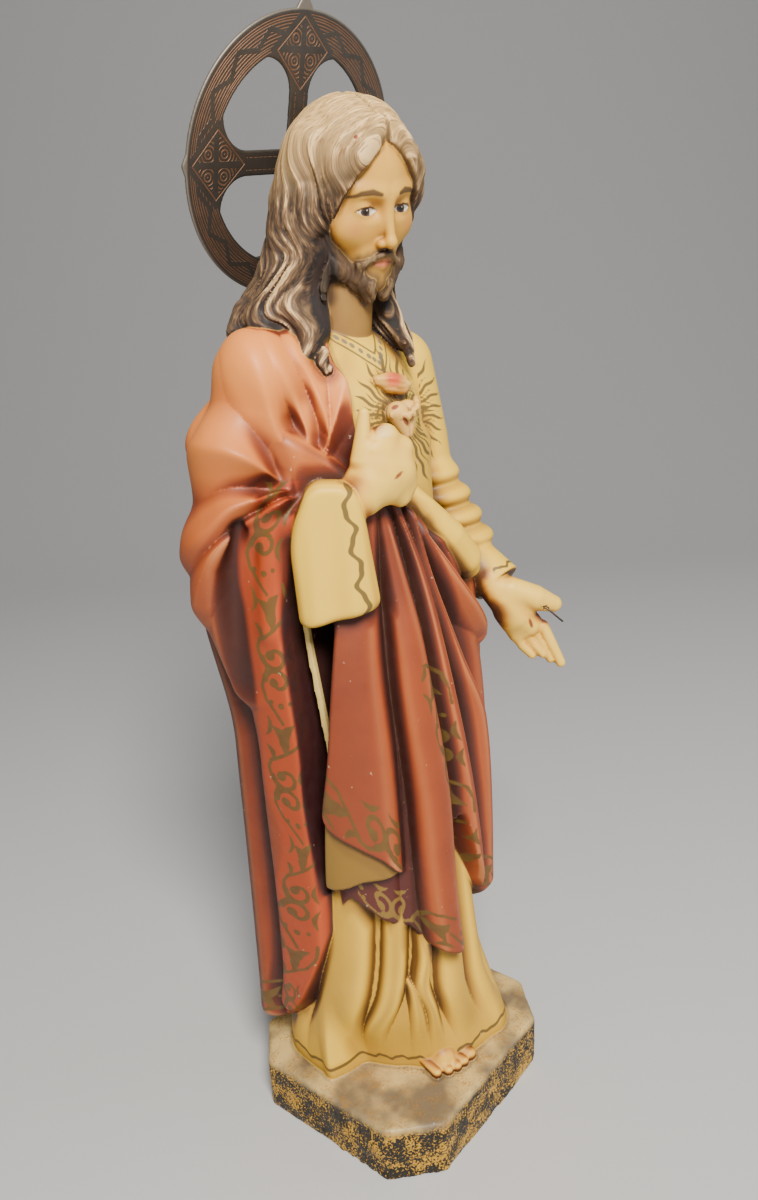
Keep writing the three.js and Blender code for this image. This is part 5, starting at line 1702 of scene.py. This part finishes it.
def halo(q):
    """The plate with its windows and the pin that goes into the head, in the plate's own frame."""
    turned = HALO_LEAN.transposed()
    x = q.x * turned[0][0] + q.y * turned[0][1]
    y = q.x * turned[1][0] + q.y * turned[1][1]
    far = length(x, y)
    around = np.arctan2(y, x)
    edge = np.full(x.shape, float(HALO["radius"]))
    for number, tip in enumerate(HALO["tips"]):
        away = np.abs((around - number * math.pi / 2 + math.pi) % (2 * math.pi) - math.pi)
        edge += tip * np.maximum(1 - away / HALO["tip_half"], 0)
    inner = HALO["radius"] - HALO["rim"]
    side, half = HALO["flare_at"], HALO["arm"]
    widens = math.sqrt(inner**2 - side**2) - HALO["flare"]
    ax, ay = np.abs(x), np.abs(y)
    window = np.maximum(half - np.minimum(ax, ay), far - inner)
    for one, other in ((ax, ay), (ay, ax)):
        flare = length(one - side, other - widens) - HALO["flare"]
        window = np.where((one < side) & (other > widens), flare, window)
    corner = half + HALO["fillet"]
    rounded = length(ax - corner, ay - corner) - HALO["fillet"]
    window = np.where((ax < corner) & (ay < corner), rounded, window)
    plan = np.maximum(far - edge, -window)
    plate = smooth_max(plan, np.abs(q.z) - HALO["half_thick"], ROUNDED)
    pin = np.maximum(length(q.x, q.y) - HALO_PIN["radius"], np.maximum(-q.z, q.z - HALO_PIN["length"]))
    return np.minimum(plate, pin), x, y


RIM_LINES = (41.4, 42.3, 50.3, 51.2)
ZIGZAG = {"turns": 5.75, "low": 44.1, "swing": 4.4, "half": 1}
HATCH = {"middle": 46.3, "reach": 3.5, "cell": 0.55, "half": 0.24}
KITE = {"top": 50.5, "wide": 12.5, "at": 39, "foot": 26}
CURL = {"at": (4, 3.8), "cell": 0.75, "half": 0.32}
ARM_LINE = 2.3


def halo_metal():
    paint = Paint("halo_metal")
    across, along = paint.trait("plate_x"), paint.trait("plate_y")
    far = paint.math("SQRT", across * across + along * along)
    around = paint.math("ARCTAN2", along, across)
    near_x, near_y = abs(across), abs(along)
    arm, off = near_x.high(near_y), near_x.low(near_y)

    upper = (KITE["top"] - arm) / (KITE["top"] - KITE["at"])
    lower = (arm - KITE["foot"]) / (KITE["at"] - KITE["foot"])
    kite = (upper.low(lower) * KITE["wide"] - off) * 0.72
    from_bar = abs(arm - (KITE["at"] + 0.5))
    curl_x, curl_y = off - CURL["at"][0], from_bar - CURL["at"][1]
    curl = paint.math("SQRT", curl_x * curl_x + curl_y * curl_y)
    rings = (CURL["half"] - curl.zigzag(CURL["cell"])).low(off.low(from_bar) - 1.2)
    in_kite = paint.math("GREATER_THAN", kite, 0.9)
    copper = (0.28 - abs(kite)).high(rings.only(in_kite))

    rim = 0.2 - abs(far - RIM_LINES[0])
    for line in RIM_LINES[1:]:
        rim = rim.high(0.2 - abs(far - line))
    swing = (around * ZIGZAG["turns"]).zigzag(1) * ZIGZAG["swing"] + ZIGZAG["low"]
    beside = abs(far - swing) - ZIGZAG["half"]
    between = HATCH["reach"] - abs(far - HATCH["middle"])
    rim = rim.high((HATCH["half"] - far.zigzag(HATCH["cell"])).low(beside.low(between)))
    on_rim = paint.math("GREATER_THAN", far, RIM_LINES[0] - 1)
    copper = copper.high(rim.only(on_rim * paint.math("LESS_THAN", kite, -2.6)))

    dashes = (0.18 - abs(off - ARM_LINE)).low(arm.zigzag(1.2) - 0.35)
    copper = copper.high(dashes.low(KITE["foot"] - 1 - arm))

    copper = paint.fade(copper, -0.08, 0.1) * paint.fade(paint.trait("front"), 0.4, 0.6)
    tarnish = paint.noise(9, 4)
    plate = paint.mix((98, 92, 86), (62, 57, 52), tarnish)
    rubbed = paint.mix((158, 116, 88), (104, 80, 64), paint.noise(4, 3))
    plate = paint.mix(plate, (150, 140, 126), paint.fade(paint.trait("edge"), 0.9, 0.1) * 0.7)
    paint.set("Base Color", paint.mix(plate, rubbed, copper))
    paint.set("Metallic", 0.75)
    paint.set("Roughness", tarnish * 0.2 + 0.42)
    bump = paint.tree.nodes.new("ShaderNodeBump")
    bump.inputs["Strength"].default_value = 0.6
    bump.inputs["Distance"].default_value = 0.0003
    paint.feed(bump.inputs["Height"], 1 - copper)
    paint.tree.links.new(bump.outputs[0], paint.shader.inputs["Normal"])
    return paint.material


HALO_SPACING = 0.5 * FINE
plate_line = spaced([[-61, HALO_SPACING], [61, 1]])
thick_line = spaced([[-1.6, 0.3 * FINE], [1.6, 0.8 * FINE], [10, 1]])
halo_values, halo_lines = sample(lambda q: halo(q)[0], [plate_line, plate_line, thick_line])
halo_points, halo_quads = surface(halo_values, halo_lines)
_, plate_x, plate_y = halo(Spots(*halo_points.T))
halo_placed = halo_points @ np.array(HALO_FRAME).T + np.array(HALO_AT) + np.array([0, 0, BASE_HEIGHT])
halo_piece = mesh_object("engraved_halo", halo_placed / 1000, halo_quads)
give_traits(halo_piece, {
    "plate_x": plate_x, "plate_y": plate_y, "front": np.where(halo_points[:, 2] > 0.4, 1, 0),
    "edge": HALO["radius"] - length(plate_x, plate_y),
})
halo_piece.data.materials.append(halo_metal())
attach(halo_piece, "root")
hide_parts("halo")


# The wire that shows at the broken thumb

WIRE = {"radius": 0.45, "sides": 16}


def make_wire():
    way = np.array(WIRE_END) - np.array(WIRE_START)
    way = way / np.linalg.norm(way)
    side = np.cross(way, [0, 0, 1])
    side = side / np.linalg.norm(side)
    other = np.cross(way, side)
    points, faces = [], []
    count = WIRE["sides"]
    for end in (WIRE_START, WIRE_END):
        for i in range(count):
            angle = 2 * math.pi * i / count
            rim = WIRE["radius"] * (side * math.cos(angle) + other * math.sin(angle))
            points.append(np.array(end) + rim + [0, 0, BASE_HEIGHT])
    points += [np.array(end) + [0, 0, BASE_HEIGHT] for end in (WIRE_START, WIRE_END)]
    for i in range(count):
        j = (i + 1) % count
        faces += [[i, count + i, j], [j, count + i, count + j]]
        faces += [[j, 2 * count, i], [count + i, 2 * count + 1, count + j]]
    piece = mesh_object("steel_wire", np.array(points) / 1000, np.array(faces))
    paint = Paint("wire")
    rust = paint.noise(2, 3)
    paint.set("Base Color", paint.mix((120, 112, 106), (84, 66, 54), rust))
    paint.set("Metallic", 0.9)
    paint.set("Roughness", 0.4)
    piece.data.materials.append(paint.material)
    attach(piece, "root")
    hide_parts("thumb_wire")


make_wire()


# The camera, where the photograph was taken from, and the studio

CAMERA_AT = (-310, -253, 388)
CAMERA_AZIMUTH = 50.83 / DEGREES
CAMERA_PITCH = 0.3175
CAMERA_ROLL = -0.053
CAMERA_LENS = 28.5


def make_camera():
    camera = bpy.data.cameras.new("camera")
    camera.lens = CAMERA_LENS
    camera.sensor_width = 36
    made = bpy.data.objects.new("camera", camera)
    bpy.context.scene.collection.objects.link(made)
    forward = Vector((math.sin(CAMERA_AZIMUTH), math.cos(CAMERA_AZIMUTH), 0))
    right = Vector((math.cos(CAMERA_AZIMUTH), -math.sin(CAMERA_AZIMUTH), 0))
    upward = Vector((0, 0, 1)) * math.cos(CAMERA_PITCH) + forward * math.sin(CAMERA_PITCH)
    ahead = forward * math.cos(CAMERA_PITCH) - Vector((0, 0, 1)) * math.sin(CAMERA_PITCH)
    c, s = math.cos(CAMERA_ROLL), math.sin(CAMERA_ROLL)
    local_x = c * right + s * upward
    local_y = -s * right + c * upward
    turned = Matrix((local_x, local_y, -ahead)).transposed()
    made.matrix_world = Matrix.Translation(Vector(CAMERA_AT) / 1000) @ turned.to_4x4()
    camera.clip_start, camera.clip_end = 0.01, 50
    bpy.context.scene.camera = made


def area_light(name, at, target, size, power, color=(1, 1, 1)):
    light = bpy.data.lights.new(name, "AREA")
    light.shape = "DISK"
    light.size = size
    light.energy = power
    light.color = color
    made = bpy.data.objects.new(name, light)
    bpy.context.scene.collection.objects.link(made)
    made.location = at
    made.rotation_euler = (Vector(target) - Vector(at)).to_track_quat("-Z", "Y").to_euler()


SWEEP = {"near": -4, "bend": 0.9, "radius": 1, "high": 4, "half": 6, "steps": 24}


def make_studio():
    profile = [(SWEEP["near"], 0)]
    for i in range(SWEEP["steps"] + 1):
        angle = math.pi / 2 * i / SWEEP["steps"]
        profile.append((
            SWEEP["bend"] + SWEEP["radius"] * math.sin(angle), SWEEP["radius"] * (1 - math.cos(angle)),
        ))
    profile.append((SWEEP["bend"] + SWEEP["radius"], SWEEP["high"]))
    ahead = np.array([math.sin(CAMERA_AZIMUTH), math.cos(CAMERA_AZIMUTH), 0])
    beside = np.array([ahead[1], -ahead[0], 0]) * SWEEP["half"]
    floor_points, floor_faces = [], []
    for i, (far, z) in enumerate(profile):
        floor_points += [ahead * far - beside + [0, 0, z], ahead * far + beside + [0, 0, z]]
        if i:
            floor_faces.append([2 * i - 2, 2 * i - 1, 2 * i + 1, 2 * i])
    floor = mesh_object("floor", np.array(floor_points, dtype=np.float32), np.array(floor_faces))
    pale = bpy.data.materials.new("pale_floor")
    pale.use_nodes = True
    pale.node_tree.nodes["Principled BSDF"].inputs["Base Color"].default_value = (0.55, 0.55, 0.55, 1)
    pale.node_tree.nodes["Principled BSDF"].inputs["Roughness"].default_value = 0.7
    floor.data.materials.append(pale)
    world = bpy.data.worlds.new("studio")
    world.use_nodes = True
    world.node_tree.nodes["Background"].inputs["Color"].default_value = (0.9, 0.92, 0.95, 1)
    world.node_tree.nodes["Background"].inputs["Strength"].default_value = 0.26
    bpy.context.scene.world = world
    area_light("key", (-0.55, -0.65, 1.1), (0, 0, 0.3), 0.4, 31, (1, 0.95, 0.87))
    area_light("fill", (0.9, -1.1, 0.7), (0, 0, 0.25), 0.8, 4, (0.9, 0.95, 1))


make_camera()
make_studio()
bpy.context.view_layer.update()
